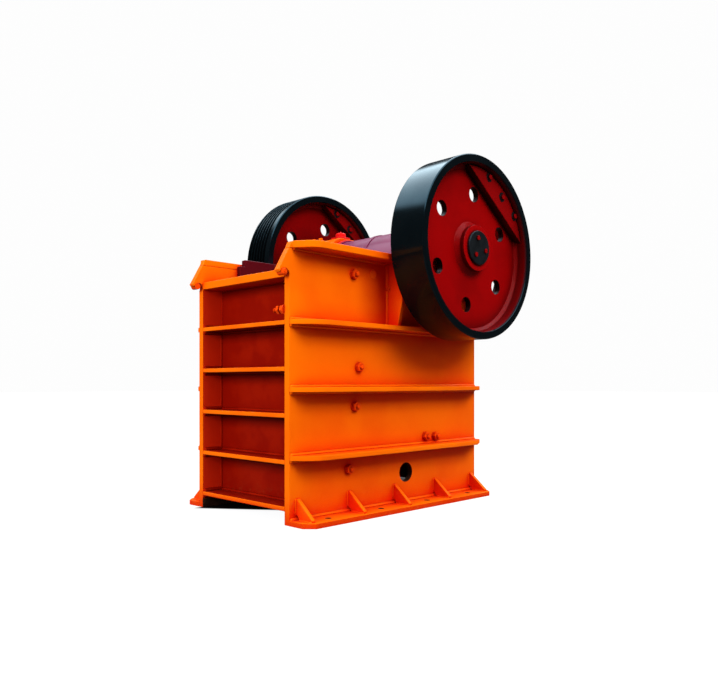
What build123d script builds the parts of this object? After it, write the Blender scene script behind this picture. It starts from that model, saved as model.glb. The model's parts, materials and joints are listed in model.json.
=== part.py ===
from build123d import *
from math import atan2, cos, degrees, radians, sin, sqrt
import os

# Single-toggle jaw crusher with a welded plate frame.
# Millimetres. X runs across the machine along the shaft (flywheel at +X, grooved pulley at -X),
# Y runs from the feed end's front wall (-Y) to the rear wall (+Y), and Z is up from the floor.
# The origin is on the floor, at the centre of the holding-down bolt holes.

os.makedirs("parts", exist_ok=True)

# Frame
inner_width = 900.0
plate_thickness = 45.0
flange_thickness = 44.0
rib_depth = 140.0
rib_thickness = 32.0
rib_front_taper = 125.0
rib_front_land = 14.0
rib_rear_taper = 150.0
rib_rear_land = 51.0
top_front_taper = 78.0
lower_rib_height = 396.0
middle_rib_height = 815.0
rear_shoulder_land = 30.0
rear_slope_run = 170.0
rear_slope_drop = 210.0
access_hole_diameter = 135.0
access_hole_setback = 1079.0
access_hole_height = 235.0

# Ears at the front top corners
ear_setback = 22.0
ear_reach = 80.0
ear_drop = 184.0
ear_end_inset = 18.0
ear_end_depth = 22.0
ear_notch_radius = 36.0
ear_notch_inset = 47.0

# Base
base_flange_width = 185.0
base_flange_thickness = 32.0
base_corner_chamfer = 60.0
bolt_hole_diameter = 38.0
bolt_line_offset = 100.0
bolt_hole_count = 4
bolt_end_inset = 232.0
gusset_count = 5
gusset_end_inset = 51.0
gusset_thickness = 28.0
gusset_foot = 152.0
gusset_height = 130.0
gusset_land = 14.0
gusset_drain_radius = 30.0

# Front wall
front_recess = 160.0
front_wall_thickness = 45.0
front_rib_thickness = 28.0
front_rib_count = 5
front_rib_bottom = 84.0
front_top_bay = 266.0
front_lip_thickness = 50.0
front_lip_drop = 215.0
jaw_ledge_height = 50.0
jaw_ledge_depth = 60.0

# Rear wall
rear_recess = 155.0
rear_wall_thickness = 50.0
rear_wall_bottom = 90.0
rear_wall_drop = 441.0
rear_rib_count = 4
rear_rib_thickness = 32.0
rear_rib_bracket_gap = 100.0

# Crushing chamber
feed_opening = 600.0
discharge_gap = 100.0
jaw_bottom_height = 430.0
fixed_jaw_top_gap = 16.0
swing_jaw_drop = 123.0
jaw_base_thickness = 50.0
tooth_height = 35.0
tooth_count = 9
tooth_crest_share = 0.34
tooth_rounding = 7.0
cheek_thickness = 45.0
cheek_side_gap = 10.0
cheek_top_rise = 29.0
cheek_step_height = 50.0
cheek_step_length = 40.0
cheek_overlap = 70.0
cheek_split_height = 1080.0
cheek_split_gap = 3.0
cheek_clearance = 2.0

# Shaft and main bearings
shaft_height = 1823.0
shaft_rise = 82.0
eccentricity = 18.0
counterweight_angle = 54.8
journal_radius = 90.0
eccentric_radius = 115.0
wheel_seat_radius = 85.0
running_fit = 0.06
seat_fit = 0.3
housing_radius = 205.0
housing_inner_reach = 79.0
housing_outer_reach = 120.0
housing_flange = 27.0
housing_flange_thickness = 30.0
seat_ring_radius = 290.0
seat_shoulder = 330.0
seat_shoulder_height = 75.0
cap_shoulder_height = 172.0
cap_crown_radius = 262.0
cap_crown_height = 245.0
cap_corner_radius = 36.0
cap_nut_flats = 55.0
cap_nut_height = 33.0
cap_stud_radius = 17.0
cap_stud_reach = 18.0
cap_stud_inset = 70.0
cap_stud_row = 75.0
grease_pad_length = 125.0
grease_pad_width = 125.0
grease_pad_height = 22.0
grease_cup_radius = 44.0
grease_cup_height = 40.0
stiffener_thickness = 32.0
stiffener_height = 435.0
stiffener_offset = 485.0
stiffener_foot_depth = 100.0
rear_stiffener_depth = 66.0
stiffener_taper_height = 170.0

# Wheels
wheel_radius = 645.0
wheel_gap = 160.0
rim_thickness = 53.0
rim_draft = 10.0
rim_edge = 6.0
flywheel_width = 285.0
flywheel_web_recess = 102.0
web_thickness = 45.0
hub_length = 262.0
hub_gap = 25.0
hub_radius = 162.0
hub_root_radius = 192.0
hub_neck_length = 30.0
rim_cove = 20.0
web_hole_count = 6
web_hole_diameter = 105.0
web_hole_pitch_radius = 400.0
flywheel_hole_phase = 23.3
pulley_hole_phase = 18.0
end_plate_radius = 120.0
end_plate_thickness = 18.0
counterweight_gap = 2.0
flywheel_weight_thickness = 58.0
flywheel_weight_depth = 159.0
pulley_width = 275.0
pulley_web_recess = 122.0
pulley_weight_thickness = 75.0
pulley_weight_depth = 95.0
groove_count = 6
groove_pitch = 37.0
groove_depth = 26.0
groove_top_width = 31.0
groove_bottom_width = 15.0
groove_edge_margin = 9.0

# Swing jaw
head_depth = 264.0
barrel_radius = 226.0
barrel_end_gap = 8.0
barrel_ring_width = 22.0
barrel_ring_height = 9.0
barrel_band_width = 36.0
barrel_band_height = 5.0
barrel_cavity_radius = 185.0
bearing_land_width = 170.0
moving_gap = 7.0
jaw_wall_thickness = 52.0
jaw_web_thickness = 36.0
jaw_outer_web = 325.0
jaw_inner_web = 105.0
jaw_foot_depth = 60.0
jaw_foot_height = 60.0
toggle_block_depth = 360.0
toggle_block_height = 200.0
toggle_block_level = 60.0
wedge_height = 62.0
wedge_depth = 70.0
wedge_clearance = 4.0

# Toggle and tension rod
toggle_end_radius = 32.0
toggle_thickness = 46.0
toggle_half_width = 350.0
toggle_seat_depth = 160.0
toggle_seat_height = 200.0
toggle_seat_level = 640.0
rod_radius = 20.0
rod_level = 262.0
rod_pin_setback = 600.0
rod_eye_radius = 42.0
rod_eye_thickness = 50.0
rod_pin_radius = 20.0
rod_lug_thickness = 26.0
rod_lug_gap = 1.0
rod_rear_reach = 110.0
rod_nut_flats = 62.0
rod_nut_height = 34.0
spring_radius = 46.0
spring_wire_radius = 9.0
spring_turns = 6
spring_turn_steps = 14
spring_plate_radius = 58.0
spring_plate_thickness = 14.0
spring_cup_wall = 19.0
spring_cup_depth = 44.0
bracket_thickness = 20.0
bracket_width = 240.0
bracket_corner = 30.0

# Levels and lines that follow from the sizes above.
# The shaft stands behind the feed opening and the head of the swing jaw.
fixed_jaw_depth = jaw_base_thickness + tooth_height
feed_setback = front_recess + front_wall_thickness + fixed_jaw_depth
shaft_setback = feed_setback + feed_opening + head_depth + barrel_radius
frame_length = shaft_setback + seat_shoulder + rear_shoulder_land + rear_slope_run
frame_height = shaft_height - shaft_rise
front_y = -frame_length / 2
rear_y = frame_length / 2
plate_inner_x = inner_width / 2
plate_outer_x = plate_inner_x + plate_thickness
plate_top = frame_height - flange_thickness
upper_rib_height = plate_top - stiffener_height - rib_thickness
front_lip_bottom = frame_height - front_lip_drop
rear_wall_top = frame_height - rear_wall_drop
fixed_jaw_top_height = front_lip_bottom - fixed_jaw_top_gap
swing_jaw_top_height = shaft_height - swing_jaw_drop
cheek_top_height = frame_height + cheek_top_rise
rib_outer_x = plate_outer_x + rib_depth
shaft_y = front_y + shaft_setback
seat_front_y = shaft_y - seat_shoulder
seat_rear_y = shaft_y + seat_shoulder
wall_front_y = front_y + front_recess
wall_rear_y = wall_front_y + front_wall_thickness
fixed_face_y = wall_rear_y + fixed_jaw_depth
rear_wall_rear_y = rear_y - rear_recess
rear_wall_front_y = rear_wall_rear_y - rear_wall_thickness
housing_inner_x = plate_inner_x - housing_inner_reach
housing_outer_x = plate_outer_x + housing_outer_reach
seat_inner_x = housing_inner_x + housing_flange_thickness
seat_outer_x = housing_outer_x - housing_flange_thickness
jaw_half_width = plate_inner_x - cheek_thickness - cheek_side_gap
wheel_inner_x = plate_outer_x + wheel_gap
hub_inner_x = housing_outer_x + hub_gap
hub_outer_x = hub_inner_x + hub_length
barrel_half_length = housing_inner_x - barrel_end_gap

# The crank throw points away from the counterweights.
throw_angle = radians(counterweight_angle + 180.0)
barrel_y = shaft_y + eccentricity * cos(throw_angle)
barrel_z = shaft_height + eccentricity * sin(throw_angle)

# The swing jaw stands at one end of its circle, so the circle's centre lies this far from it.
orbit_y = shaft_y - barrel_y
orbit_z = shaft_height - barrel_z
orbit_clearance = eccentricity + moving_gap

# The swing jaw's face leans back from the discharge to the feed opening.
jaw_lean = atan2(feed_opening - discharge_gap, swing_jaw_top_height - jaw_bottom_height)
jaw_slope_length = (swing_jaw_top_height - jaw_bottom_height) / cos(jaw_lean)
jaw_foot_point = (fixed_face_y + discharge_gap, jaw_bottom_height)


def on_jaw(along, behind):
    """A (y, z) point measured up the swing jaw's face and back from it."""
    y = jaw_foot_point[0] + along * sin(jaw_lean) + behind * cos(jaw_lean)
    z = jaw_foot_point[1] + along * cos(jaw_lean) - behind * sin(jaw_lean)
    return (y, z)


def side_plane(x_a, x_b):
    """The sketch plane, with Y across and Z up, at the lower of two X values."""
    return Plane.YZ.offset(min(x_a, x_b))


def save(piece, name):
    piece.part.label = name
    export_step(piece.part, f"parts/{name}.step")


def side_plate(name, s):
    """One frame side: a thick plate with a hooked ear, a bearing seat and a sloping rear shoulder."""
    ear_tip_y = front_y - ear_reach
    ear_tip_height = frame_height - ear_drop
    ear_bottom = ear_tip_height - ear_end_depth
    with BuildPart() as plate:
        with BuildSketch(side_plane(s * plate_inner_x, s * plate_outer_x)):
            with BuildLine():
                Polyline(
                    (front_y, 0),
                    (rear_y, 0),
                    (rear_y, plate_top - rear_slope_drop),
                    (rear_y - rear_slope_run, plate_top),
                    (seat_rear_y, plate_top),
                    (seat_rear_y, shaft_height),
                    (seat_front_y, shaft_height),
                    (seat_front_y, plate_top),
                    (front_y, plate_top),
                    (ear_tip_y, ear_tip_height),
                    (ear_tip_y + ear_end_inset, ear_bottom),
                    (front_y, ear_bottom),
                    close=True,
                )
            make_face()
            with Locations((shaft_y, shaft_height)):
                Circle(housing_radius + seat_fit, mode=Mode.SUBTRACT)
            with Locations((ear_tip_y + ear_notch_inset, ear_bottom)):
                Circle(ear_notch_radius, mode=Mode.SUBTRACT)
            with Locations((front_y + access_hole_setback, access_hole_height)):
                Circle(access_hole_diameter / 2, mode=Mode.SUBTRACT)
        extrude(amount=plate_thickness)
    save(plate, name)


def flange_outline(s, y_start, y_end, front_taper, rear_taper):
    """Plan points of a plate that stands out from a frame side, tapered where it meets a corner."""
    inner = s * plate_outer_x
    outer = s * rib_outer_x
    points = [(inner, y_start)]
    if front_taper > 0:
        points.append((inner + s * rib_front_land, y_start))
        points.append((outer, y_start + front_taper))
    else:
        points.append((outer, y_start))
    if rear_taper > 0:
        points.append((outer, y_end - rear_taper))
        points.append((inner + s * rib_rear_land, y_end))
    else:
        points.append((outer, y_end))
    points.append((inner, y_end))
    return points


def side_ribs(name, s):
    """Three horizontal ribs welded along one frame side."""
    with BuildPart() as ribs:
        for height in (lower_rib_height, middle_rib_height, upper_rib_height):
            with BuildSketch(Plane.XY.offset(height)):
                with BuildLine():
                    Polyline(*flange_outline(s, front_y, rear_y, rib_front_taper, rib_rear_taper), close=True)
                make_face()
            extrude(amount=rib_thickness)
    save(ribs, name)


def top_flange(name, s):
    """The flange along the top edge, with the nose that leads to the ear and the sloped rear piece."""
    nose_y = front_y + ear_setback
    slope_length = sqrt(rear_slope_run**2 + rear_slope_drop**2)
    up_y = rear_slope_drop / slope_length
    up_z = rear_slope_run / slope_length
    shoulder_y = rear_y - rear_slope_run
    with BuildPart() as flange:
        with BuildSketch(Plane.XY.offset(plate_top)):
            with BuildLine():
                points = flange_outline(s, nose_y, seat_front_y, top_front_taper, 0)
                Polyline((s * plate_inner_x, seat_front_y), (s * plate_inner_x, nose_y), *points, close=True)
            make_face()
        extrude(amount=flange_thickness)
        with BuildSketch(side_plane(s * plate_inner_x, s * plate_outer_x)):
            with BuildLine():
                Polyline((front_y, plate_top), (nose_y, plate_top), (nose_y, frame_height), close=True)
            make_face()
        extrude(amount=plate_thickness)
        with BuildSketch(side_plane(s * plate_inner_x, s * rib_outer_x)):
            with BuildLine():
                Polyline(
                    (seat_rear_y, plate_top),
                    (shoulder_y, plate_top),
                    (rear_y, plate_top - rear_slope_drop),
                    (rear_y + up_y * flange_thickness, plate_top - rear_slope_drop + up_z * flange_thickness),
                    (shoulder_y + up_y * flange_thickness / (1 + up_z), frame_height),
                    (seat_rear_y, frame_height),
                    close=True,
                )
            make_face()
        extrude(amount=rib_outer_x - plate_inner_x)
    save(flange, name)


bolt_hole_pitch = (frame_length - 2 * bolt_end_inset) / (bolt_hole_count - 1)
gusset_pitch = (frame_length - 2 * gusset_end_inset - gusset_thickness) / (gusset_count - 1)


def base_flange(name, s):
    """The foot flange with its holding-down bolt holes."""
    centre_x = s * (plate_outer_x + base_flange_width / 2)
    with BuildPart() as flange:
        with BuildSketch():
            with Locations((centre_x, 0)):
                Rectangle(base_flange_width, frame_length)
        extrude(amount=base_flange_thickness)
        outer_face = flange.faces().sort_by(Axis.X)[-1 if s > 0 else 0]
        chamfer(outer_face.edges().filter_by(Axis.Z), base_corner_chamfer)
        with Locations((s * (plate_outer_x + bolt_line_offset), 0, base_flange_thickness)):
            with GridLocations(1, bolt_hole_pitch, 1, bolt_hole_count):
                Hole(bolt_hole_diameter / 2, base_flange_thickness)
    save(flange, name)


def base_gussets(name, s):
    """Five triangular gussets with a drain corner, between the foot flange and the frame side."""
    with BuildPart() as gussets:
        for i in range(gusset_count):
            y = (i - (gusset_count - 1) / 2) * gusset_pitch + gusset_thickness / 2
            with BuildSketch(Plane.XZ.offset(-y)) as outline:
                with BuildLine():
                    Polyline(
                        (s * plate_outer_x, base_flange_thickness),
                        (s * (plate_outer_x + gusset_foot), base_flange_thickness),
                        (s * (plate_outer_x + gusset_foot), base_flange_thickness + gusset_land),
                        (s * (plate_outer_x + gusset_land), base_flange_thickness + gusset_height),
                        (s * plate_outer_x, base_flange_thickness + gusset_height),
                        close=True,
                    )
                make_face()
                with Locations((s * plate_outer_x, base_flange_thickness)):
                    Circle(gusset_drain_radius, mode=Mode.SUBTRACT)
            extrude(amount=gusset_thickness)
    save(gussets, name)


def bearing_stiffeners(name, s):
    """Upright webs between the upper rib and the bearing's flange and seat."""
    rib_top = upper_rib_height + rib_thickness
    with BuildPart() as webs:
        for offset_y, depth in ((-stiffener_offset, rib_depth), (stiffener_offset, rear_stiffener_depth)):
            y = shaft_y + offset_y + stiffener_thickness / 2
            foot = min(stiffener_foot_depth, depth)
            into_slope = max(0.0, y - (rear_y - rear_slope_run))
            top = plate_top - into_slope * rear_slope_drop / rear_slope_run
            with BuildSketch(Plane.XZ.offset(-y)):
                with BuildLine():
                    Polyline(
                        (s * plate_outer_x, rib_top),
                        (s * (plate_outer_x + foot), rib_top),
                        (s * (plate_outer_x + depth), rib_top + stiffener_taper_height),
                        (s * (plate_outer_x + depth), top),
                        (s * plate_outer_x, top),
                        close=True,
                    )
                make_face()
            extrude(amount=stiffener_thickness)
        seat_depth = seat_outer_x - plate_outer_x
        with BuildSketch(Plane.XZ.offset(-(shaft_y + stiffener_thickness / 2))):
            with BuildLine():
                Polyline(
                    (s * plate_outer_x, rib_top),
                    (s * (plate_outer_x + seat_depth), rib_top),
                    (s * (plate_outer_x + seat_depth), plate_top),
                    (s * plate_outer_x, plate_top),
                    close=True,
                )
            make_face()
        extrude(amount=stiffener_thickness)
        with BuildSketch(side_plane(s * plate_outer_x, s * seat_outer_x)):
            with Locations((shaft_y, shaft_height)):
                Circle(seat_ring_radius)
        extrude(amount=seat_depth, mode=Mode.SUBTRACT)
    save(webs, name)


def bearing_seat(name, s):
    """The half-round seat that doubles the frame side under the main bearing, inside and outside."""
    with BuildPart() as seat:
        for x_a, x_b in ((seat_inner_x, plate_inner_x), (plate_outer_x, seat_outer_x)):
            with BuildSketch(side_plane(s * x_a, s * x_b)):
                with Locations((shaft_y, shaft_height)):
                    Circle(seat_ring_radius)
                    with Locations((0, -seat_shoulder_height / 2)):
                        Rectangle(2 * seat_shoulder, seat_shoulder_height)
                    with Locations((0, seat_ring_radius)):
                        Rectangle(2 * seat_shoulder, 2 * seat_ring_radius, mode=Mode.SUBTRACT)
                    Circle(housing_radius + seat_fit, mode=Mode.SUBTRACT)
            extrude(amount=x_b - x_a)
    save(seat, name)


def bearing_cap(name, s):
    """The clamp over the main bearing, with square shoulders for the studs and a flat crown."""
    with BuildPart() as cap:
        with BuildSketch(side_plane(s * seat_inner_x, s * seat_outer_x)) as outline:
            with Locations((shaft_y, shaft_height)):
                Circle(cap_crown_radius)
                with Locations((0, cap_crown_height + cap_crown_radius)):
                    Rectangle(4 * cap_crown_radius, 2 * cap_crown_radius, mode=Mode.SUBTRACT)
                with Locations((0, -cap_crown_radius)):
                    Rectangle(4 * cap_crown_radius, 2 * cap_crown_radius, mode=Mode.SUBTRACT)
                with Locations((0, cap_shoulder_height / 2)):
                    Rectangle(2 * seat_shoulder, cap_shoulder_height)
                Circle(housing_radius + seat_fit, mode=Mode.SUBTRACT)
            corners = outline.vertices().group_by(Axis.X)
            for corner in (corners[0].sort_by(Axis.Y)[-1], corners[-1].sort_by(Axis.Y)[-1]):
                fillet(corner, cap_corner_radius)
        extrude(amount=seat_outer_x - seat_inner_x)
    save(cap, name)


def cap_nuts(name, s):
    """Four nuts and stud ends on the cap's shoulders."""
    row_x = s * (seat_inner_x + seat_outer_x) / 2
    stud_y = seat_shoulder - cap_stud_inset
    with BuildPart() as nuts:
        with BuildSketch(Plane.XY.offset(shaft_height + cap_shoulder_height)):
            with Locations((row_x, shaft_y)):
                with GridLocations(cap_stud_row, 2 * stud_y, 2, 2):
                    RegularPolygon(cap_nut_flats / 2, 6, major_radius=False)
        extrude(amount=cap_nut_height)
        with BuildSketch(Plane.XY.offset(shaft_height + cap_shoulder_height + cap_nut_height)):
            with Locations((row_x, shaft_y)):
                with GridLocations(cap_stud_row, 2 * stud_y, 2, 2):
                    Circle(cap_stud_radius)
        extrude(amount=cap_stud_reach)
    save(nuts, name)


def grease_block(name, s):
    """The lubricator on the cap's crown: a pad with a round cup on it."""
    centre_x = s * (seat_inner_x + seat_outer_x) / 2
    with BuildPart() as block:
        with BuildSketch(Plane.XY.offset(shaft_height + cap_crown_height)):
            with Locations((centre_x, shaft_y)):
                Rectangle(grease_pad_width, grease_pad_length)
        extrude(amount=grease_pad_height)
        chamfer(block.edges().filter_by(Axis.Z), grease_pad_height / 2)
        with BuildSketch(Plane.XY.offset(shaft_height + cap_crown_height + grease_pad_height)):
            with Locations((centre_x, shaft_y)):
                Circle(grease_cup_radius)
        extrude(amount=grease_cup_height)
        chamfer(block.faces().sort_by(Axis.Z)[-1].edges(), grease_cup_height / 4)
    save(block, name)


def bearing_housing(name, s):
    """The main bearing's housing, a flanged ring that the seat and the cap hold."""
    bore = journal_radius + running_fit
    with BuildPart() as housing:
        with BuildSketch(Plane.XY):
            with BuildLine():
                Polyline(
                    (s * housing_inner_x, bore),
                    (s * housing_inner_x, housing_radius + housing_flange),
                    (s * seat_inner_x, housing_radius + housing_flange),
                    (s * seat_inner_x, housing_radius),
                    (s * seat_outer_x, housing_radius),
                    (s * seat_outer_x, housing_radius + housing_flange),
                    (s * housing_outer_x, housing_radius + housing_flange),
                    (s * housing_outer_x, bore),
                    close=True,
                )
            make_face()
        revolve(axis=Axis.X)
    housing.part.position = (0, shaft_y, shaft_height)
    save(housing, name)


def tooth_line(crest, valley, half_pitch_shift):
    """Points of the toothed face, from one jaw side to the other, in the jaw's own section."""
    pitch = 2 * jaw_half_width / tooth_count
    crest_half = pitch * tooth_crest_share / 2
    points = []
    for i in range(tooth_count + 1):
        centre = -jaw_half_width + (i + (0.0 if half_pitch_shift else 0.5)) * pitch
        for x, y in (
            (centre - pitch / 2 + crest_half, valley),
            (centre - crest_half, crest),
            (centre + crest_half, crest),
            (centre + pitch / 2 - crest_half, valley),
        ):
            if -jaw_half_width < x < jaw_half_width:
                points.append((x, y))
    ends = (crest, crest) if half_pitch_shift else (valley, valley)
    return [(-jaw_half_width, ends[0])] + points + [(jaw_half_width, ends[1])]


def side_teeth(section, back):
    return [v for v in section.vertices() if abs(v.X) < jaw_half_width - 1 and abs(v.Y - back) > 1]


# Frame sides and what is welded to them
for side, s in (("right", 1), ("left", -1)):
    side_plate(f"side_plate_{side}", s)
    side_ribs(f"side_ribs_{side}", s)
    top_flange(f"top_flange_{side}", s)
    base_flange(f"base_flange_{side}", s)
    base_gussets(f"base_gussets_{side}", s)
    bearing_stiffeners(f"bearing_stiffeners_{side}", s)
    bearing_seat(f"bearing_seat_{side}", s)
    bearing_cap(f"bearing_cap_{side}", s)
    cap_nuts(f"cap_nuts_{side}", s)
    grease_block(f"grease_block_{side}", s)
    bearing_housing(f"bearing_housing_{side}", s)

# Front wall, recessed between the frame sides, with the ledge that carries the fixed jaw
with BuildPart() as front_wall:
    with BuildSketch(Plane.YZ.offset(-plate_inner_x)):
        with BuildLine():
            Polyline(
                (wall_front_y, front_rib_bottom),
                (wall_rear_y, front_rib_bottom),
                (wall_rear_y, jaw_bottom_height - jaw_ledge_height),
                (wall_rear_y + jaw_ledge_depth, jaw_bottom_height - jaw_ledge_height),
                (wall_rear_y + jaw_ledge_depth, jaw_bottom_height),
                (wall_rear_y, jaw_bottom_height),
                (wall_rear_y, front_lip_bottom),
                (wall_front_y, front_lip_bottom),
                close=True,
            )
        make_face()
    extrude(amount=inner_width)
save(front_wall, "front_wall")

with BuildPart() as front_lip:
    with BuildSketch(Plane.YZ.offset(-plate_inner_x)):
        with Locations(((front_y + wall_rear_y) / 2, front_lip_bottom + front_lip_thickness / 2)):
            Rectangle(wall_rear_y - front_y, front_lip_thickness)
    extrude(amount=inner_width)
save(front_lip, "front_lip")

front_rib_top = front_lip_bottom - front_top_bay - front_rib_thickness
front_rib_pitch = (front_rib_top - front_rib_bottom) / (front_rib_count - 1)
with BuildPart() as front_ribs:
    for i in range(front_rib_count):
        with BuildSketch(Plane.XY.offset(front_rib_bottom + i * front_rib_pitch)):
            with Locations((0, front_y + front_recess / 2)):
                Rectangle(inner_width, front_recess)
        extrude(amount=front_rib_thickness)
save(front_ribs, "front_ribs")

# Rear wall with its ribs and the hole that the tension rod swings in
with BuildPart() as rear_wall:
    with BuildSketch(Plane.YZ.offset(-plate_inner_x)):
        with Locations(((rear_wall_front_y + rear_wall_rear_y) / 2, (rear_wall_bottom + rear_wall_top) / 2)):
            Rectangle(rear_wall_thickness, rear_wall_top - rear_wall_bottom)
    extrude(amount=inner_width)
    with BuildSketch(Plane.XZ.offset(-rear_wall_rear_y)):
        with Locations((0, rod_level + orbit_z)):
            Circle(rod_radius + orbit_clearance)
    extrude(amount=rear_wall_thickness, mode=Mode.SUBTRACT)
save(rear_wall, "rear_wall")

# The lowest rib is under the spring bracket, and the others share the height above it.
second_rib_height = rod_level + bracket_width / 2 + rear_rib_bracket_gap
rear_rib_pitch = (rear_wall_top - rear_rib_thickness - second_rib_height) / (rear_rib_count - 2)
rear_rib_heights = [rear_wall_bottom] + [second_rib_height + i * rear_rib_pitch for i in range(rear_rib_count - 1)]
with BuildPart() as rear_ribs:
    for rib_height in rear_rib_heights:
        with BuildSketch(Plane.XY.offset(rib_height)):
            with Locations((0, rear_y - rear_recess / 2)):
                Rectangle(inner_width, rear_recess)
        extrude(amount=rear_rib_thickness)
save(rear_ribs, "rear_ribs")

# Fixed jaw: vertical teeth that face the swing jaw
with BuildPart() as fixed_jaw_plate:
    with BuildSketch(Plane.XY.offset(jaw_bottom_height)) as fixed_section:
        with BuildLine():
            teeth = tooth_line(fixed_face_y, fixed_face_y - tooth_height, False)
            Polyline((-jaw_half_width, wall_rear_y), *teeth, (jaw_half_width, wall_rear_y), close=True)
        make_face()
        fillet(side_teeth(fixed_section, wall_rear_y), tooth_rounding)
    extrude(amount=fixed_jaw_top_height - jaw_bottom_height)
save(fixed_jaw_plate, "fixed_jaw_plate")

# Cheek plates line the chamber's sides, in an upper and a lower piece
cheek_front_y = fixed_face_y + cheek_clearance
for side, s in (("right", 1), ("left", -1)):
    with BuildPart() as cheek:
        with BuildSketch(side_plane(s * (plate_inner_x - cheek_thickness), s * plate_inner_x)):
            with BuildLine():
                low_y, low_z = on_jaw(0, cheek_overlap)
                high_y = on_jaw(jaw_slope_length, cheek_overlap)[0]
                Polyline(
                    (cheek_front_y, low_z),
                    (low_y, low_z),
                    (high_y, swing_jaw_top_height),
                    (high_y, cheek_top_height),
                    (cheek_front_y + cheek_step_length, cheek_top_height),
                    (cheek_front_y + cheek_step_length, cheek_top_height - cheek_step_height),
                    (cheek_front_y, cheek_top_height - cheek_step_height),
                    close=True,
                )
            make_face()
            with Locations((shaft_y, cheek_split_height)):
                Rectangle(4 * shaft_setback, cheek_split_gap, mode=Mode.SUBTRACT)
        extrude(amount=cheek_thickness)
    save(cheek, f"cheek_plate_{side}")

# Toggle seat on the rear wall, and the toggle plate that rests in it
toggle_rear = (rear_wall_front_y - toggle_seat_depth, toggle_seat_level)
toggle_front = on_jaw(
    toggle_block_level + toggle_block_height / 2,
    tooth_height + jaw_base_thickness + toggle_block_depth,
)
with BuildPart() as toggle_seat:
    with BuildSketch(Plane.YZ.offset(-toggle_half_width)):
        with Locations((rear_wall_front_y - toggle_seat_depth / 2, toggle_seat_level)):
            Rectangle(toggle_seat_depth, toggle_seat_height)
        with Locations(toggle_rear):
            Circle(toggle_end_radius + seat_fit, mode=Mode.SUBTRACT)
    extrude(amount=2 * toggle_half_width)
save(toggle_seat, "toggle_seat")

toggle_angle = degrees(atan2(toggle_rear[1] - toggle_front[1], toggle_rear[0] - toggle_front[0]))
toggle_length = sqrt((toggle_rear[0] - toggle_front[0]) ** 2 + (toggle_rear[1] - toggle_front[1]) ** 2)
toggle_middle = ((toggle_rear[0] + toggle_front[0]) / 2, (toggle_rear[1] + toggle_front[1]) / 2)
with BuildPart() as toggle_plate:
    with BuildSketch(Plane.YZ.offset(-toggle_half_width)):
        with Locations(toggle_rear, toggle_front):
            Circle(toggle_end_radius)
        with Locations(Location((toggle_middle[0], toggle_middle[1], 0), (0, 0, toggle_angle))):
            Rectangle(toggle_length, toggle_thickness)
    extrude(amount=2 * toggle_half_width)
save(toggle_plate, "toggle_plate")

# Swing jaw: a barrel on the crank, a front wall for the jaw plate, webs and the toggle block
jaw_back = tooth_height + jaw_base_thickness
wall_back = jaw_back + jaw_wall_thickness
head_point = on_jaw(jaw_slope_length + wedge_height, jaw_back)
block_top = on_jaw(toggle_block_level + toggle_block_height, jaw_back + toggle_block_depth)
block_bottom = on_jaw(toggle_block_level, jaw_back + toggle_block_depth)
foot_corner = on_jaw(-jaw_foot_height, jaw_back - jaw_foot_depth)
rod_front_y = front_y + rod_pin_setback


def barrel_point(angle):
    return (barrel_y + barrel_radius * cos(radians(angle)), barrel_z + barrel_radius * sin(radians(angle)))


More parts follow.
